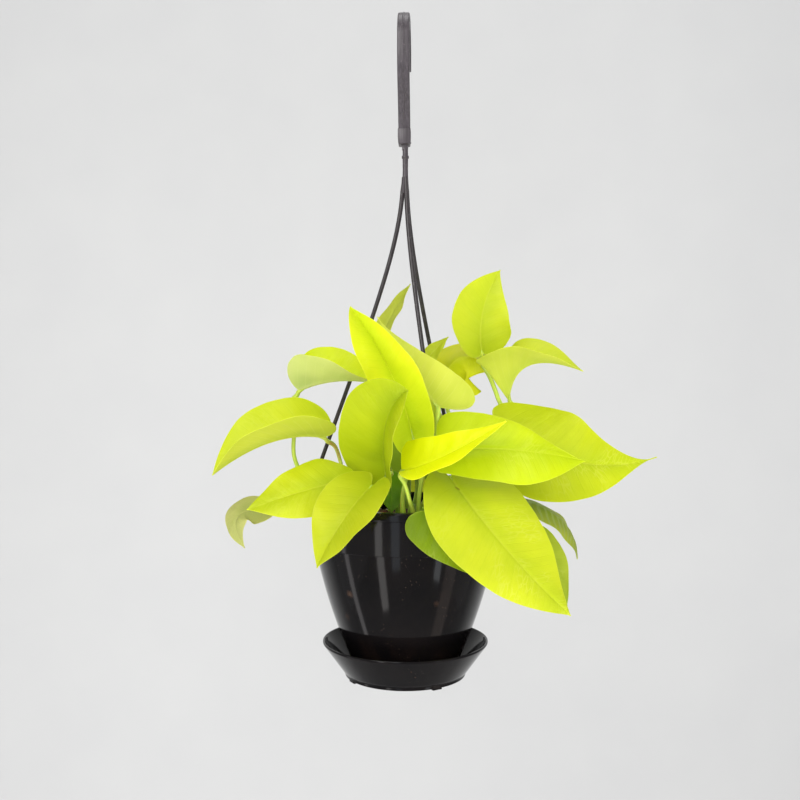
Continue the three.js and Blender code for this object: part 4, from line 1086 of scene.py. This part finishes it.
def chunk_arrays(draw, centre, size):
    """An uneven lump, turned at random."""
    mesh = bmesh.new()
    bmesh.ops.create_icosphere(mesh, subdivisions=1, radius=1.0)
    points, faces = arrays_of(mesh)
    points *= draw.uniform(0.7, 1.2, (len(points), 1))
    points *= np.array(size)
    w, x, y, z = unit(draw.normal(size=4))
    spin = np.array([
        [1 - 2 * (y * y + z * z), 2 * (x * y - z * w), 2 * (x * z + y * w)],
        [2 * (x * y + z * w), 1 - 2 * (x * x + z * z), 2 * (y * z - x * w)],
        [2 * (x * z - y * w), 2 * (y * z + x * w), 1 - 2 * (x * x + y * y)],
    ])
    return points @ spin.T + centre, faces, [(0, 0)] * len(points)


def make_bits(name, count, sizes, material, seed):
    """Loose bits that lie on the mix, each half sunk in it."""
    draw = np.random.default_rng(seed)
    parts = []
    for _ in range(count):
        r = 63 * math.sqrt(draw.uniform(0.002, 1))
        a = draw.uniform(0, 2 * math.pi)
        size = np.sort(draw.uniform(*sizes, 3))[::-1] * (1.5, 1.0, 0.55)
        z = float(mix_height(r)) + 0.2 * size[2] + 0.2
        parts.append(chunk_arrays(draw, np.array([r * math.cos(a), r * math.sin(a), z]), size))
    return keep(joined(name, parts, [material], sharp=30), "potting_mix")


# Each vine stem's route, up out of the mix.
STEMS = {
    "front": [[3, -48, -354], [3, -48, -349.5], [4, -49, -342], [5, -46, -336]],
    "left": [[-29, -29, -354], [-29, -29, -349.5], [-31, -27, -342], [-34, -24, -335]],
    "right": [[40, -12, -354], [40, -12, -349.5], [43, -12, -342], [46, -10, -334]],
}


def make_stem(side, route, material):
    """A short cut-back stem with two swollen nodes and five aerial roots."""
    line = catmull_rom(route, 40)
    t = np.linspace(0, 1, len(line))
    radii = 2.75 + 0.5 * np.exp(-(((t - 0.45) / 0.05) ** 2))
    radii += 0.35 * np.exp(-(((t - 0.75) / 0.05) ** 2))
    radii *= np.clip((1.02 - t) / 0.06, 0.25, 1) ** 0.5
    parts = [tube_arrays(line, radii, 20)]
    draw = np.random.default_rng(len(side))
    for _ in range(5):
        a = draw.uniform(0, 2 * math.pi)
        start = line[int(draw.uniform(12, 22))]
        away = np.array([math.cos(a), math.sin(a), 0])
        route = [start + away * out - (0, 0, down) for out, down in ((2.2, 0), (5, 2), (7, 8), (8, 13))]
        parts.append(tube_arrays(catmull_rom(route, 12), np.linspace(0.55, 0.25, 12), 8))
    return keep(joined("stem_" + side + "_vine", parts, [material], sharp=60), "stem", "stem_" + side)


# ---------------------------------------------------------------- the plant
POT_PLASTIC = pot_material("pot_plastic", pot_foot_reflection, 1.0, 0.26)
SAUCER_PLASTIC = pot_material("saucer_plastic", saucer_dish_streaks, 0.7, 0.2)
HANGER_PLASTIC = hanger_material("hanger_plastic", (58, 53, 56), (78, 72, 76))
STRAND_PLASTIC = hanger_material("strand_plastic", (40, 36, 37), (60, 55, 56))
MIX = mix_material("potting_mix", (52, 36, 24), (84, 60, 40))
BARK = mix_material("bark", (92, 62, 38), (128, 92, 60))
PERLITE = mix_material("perlite", (196, 190, 178), (226, 222, 214))
VINE = stalk_material("vine", (150, 172, 70), (104, 130, 44))
STALK = stalk_material("stalk", (206, 222, 92), (150, 178, 46))
STALK_BLUSHED = stalk_material("stalk_blushed", (206, 222, 92), (150, 178, 46), (150, 98, 52))
STALK_OLIVE = stalk_material("stalk_olive", (160, 186, 62), (104, 136, 36))

make_pot(POT_PLASTIC)
make_saucer(SAUCER_PLASTIC)
hook = make_strap(HANGER_PLASTIC)
cut(hook, make_crown(HANGER_PLASTIC), "UNION")
hook.name = "hanger_hook_moulding"
keep(hook, "hanger_plastic", "hanger_hook")
for side, azimuth in STRAND_AZIMUTHS.items():
    make_strand(side, azimuth, STRAND_PLASTIC)
make_mix(MIX)
make_bits("potting_mix_bark", 420, (0.7, 2.0), BARK, 11)
make_bits("potting_mix_perlite", 70, (0.5, 1.1), PERLITE, 12)
for side, route in STEMS.items():
    make_stem(side, route, VINE)

BLUSHED = {"left_arch", "left_back", "back_left"}
DEEP_STALKS = {"front_low", "inner_dark", "inner_back", "right_drop", "right_low", "top_small", "top_thin"}
for number, leaf in enumerate(LEAVES):
    name = leaf["name"]
    upper_look, under_look = leaf_looks(name)
    above = leaf_material("leaf_" + name + "_upper", upper_look, False)
    below = leaf_material("leaf_" + name + "_under", under_look, True)
    points, faces, uvs, slots = blade_arrays(leaf, 100 + number)
    blade = mesh_object("leaf_" + name + "_blade", points, faces, [above, below], uvs, slots, sharp=60)
    keep(blade, leaf["slot"], "leaf_" + name)
    stalk = STALK_BLUSHED if name in BLUSHED else STALK_OLIVE if name in DEEP_STALKS else STALK
    keep(petiole(leaf, stalk), "petiole", "petiole_" + name)


# ---------------------------------------------------------------- floor, wall, lights and camera
def paper_material():
    s = Shader("studio_paper")
    colour = s.mix(s.noise(9.0, 3.0), srgb(198, 198, 198), srgb(203, 203, 202))
    normal = s.bump(s.noise(260.0, 3.0), 0.0002, 0.2)
    return s.finish(s.principled(colour, 0.9, normal, Specular_IOR_Level=0.1))


def make_backdrop():
    """A pale floor that sweeps up into the wall behind the plant."""
    floor_z, wall_y, sweep = -3000.0, 900.0, 700.0
    angles = np.linspace(0, np.pi / 2, 24)
    line = [(-4200.0, floor_z)]
    line += [(wall_y - sweep + sweep * math.sin(a), floor_z + sweep - sweep * math.cos(a)) for a in angles]
    line += [(wall_y, 2600.0)]
    xs = np.linspace(-3600, 3600, 9)
    points = [(x, y, z) for y, z in line for x in xs]
    made = mesh_object("backdrop", points, grid_faces(len(line), len(xs), flip=True), [paper_material()])


def area_light(name, place, target, size, power, colour=(1, 1, 1), height=None, mirrored=True):
    """A softbox that faces target. One that isn't mirrored doesn't show in glossy surfaces."""
    data = bpy.data.lights.new(name, "AREA")
    data.shape = "RECTANGLE" if height else "SQUARE"
    data.size = size
    if height:
        data.size_y = height
    data.energy = power
    data.color = colour
    made = bpy.data.objects.new(name, data)
    bpy.context.scene.collection.objects.link(made)
    made.location = place
    away = np.array(place) - np.array(target)
    made.rotation_mode = "QUATERNION"
    made.rotation_quaternion = Vector(away).to_track_quat("Z", "Y")
    made.visible_glossy = mirrored


make_backdrop()
PLANT = (0.02, -0.04, -0.30)
POT = (0, 0, -0.38)
area_light("key_above", (-0.75, -1.35, 0.75), PLANT, 1.2, 19.0, (1.0, 0.99, 0.97))
area_light("overhead", (0.05, 0.15, 1.5), PLANT, 0.8, 5.5)
area_light("fill_right", (1.35, -1.25, 0.1), PLANT, 1.1, 11.0, (0.99, 0.995, 1.0), mirrored=False)
area_light("fill_front", (0.1, -2.3, 0.35), PLANT, 1.2, 19.0, mirrored=False)
area_light("lift_below", (0.1, -1.2, -1.4), PLANT, 1.2, 20.5, mirrored=False)
area_light("window_left", (-1.05, -1.62, -0.95), POT, 0.3, 5.5, (1.0, 0.97, 0.95), height=2.2)
area_light("window_blue", (-0.42, -1.9, -0.8), POT, 0.34, 1.8, (0.75, 0.87, 1.0), height=1.6)
area_light("strip_left", (-1.7, -0.25, -1.3), POT, 0.2, 2.6, (1.0, 0.96, 0.97), height=2.2)
area_light("strip_right", (1.4, -1.45, -1.4), POT, 0.3, 1.5, (0.9, 0.95, 1.0), height=0.7)
area_light("warm_right", (1.5, -0.75, -1.5), POT, 0.5, 1.6, (1.0, 0.8, 0.7), height=1.8)
area_light("wall_wash", (-0.9, -0.4, -1.0), (-0.15, 0.9, -0.8), 1.0, 3.0, mirrored=False)
world = bpy.data.worlds.new("studio")
world.use_nodes = True
world.node_tree.nodes["Background"].inputs[0].default_value = (0.95, 0.97, 1.0, 1)
world.node_tree.nodes["Background"].inputs[1].default_value = 0.36
bpy.context.scene.world = world
bpy.context.scene.view_settings.view_transform = "Standard"

camera = bpy.data.objects.new("camera", bpy.data.cameras.new("camera"))
bpy.context.scene.collection.objects.link(camera)
camera.location = (-0.004, -0.675, -0.263)
camera.rotation_euler = (math.pi / 2, 0, 0)
camera.data.sensor_width = 36.0
camera.data.lens = 40.5
camera.data.clip_start = 0.02
bpy.context.scene.camera = camera
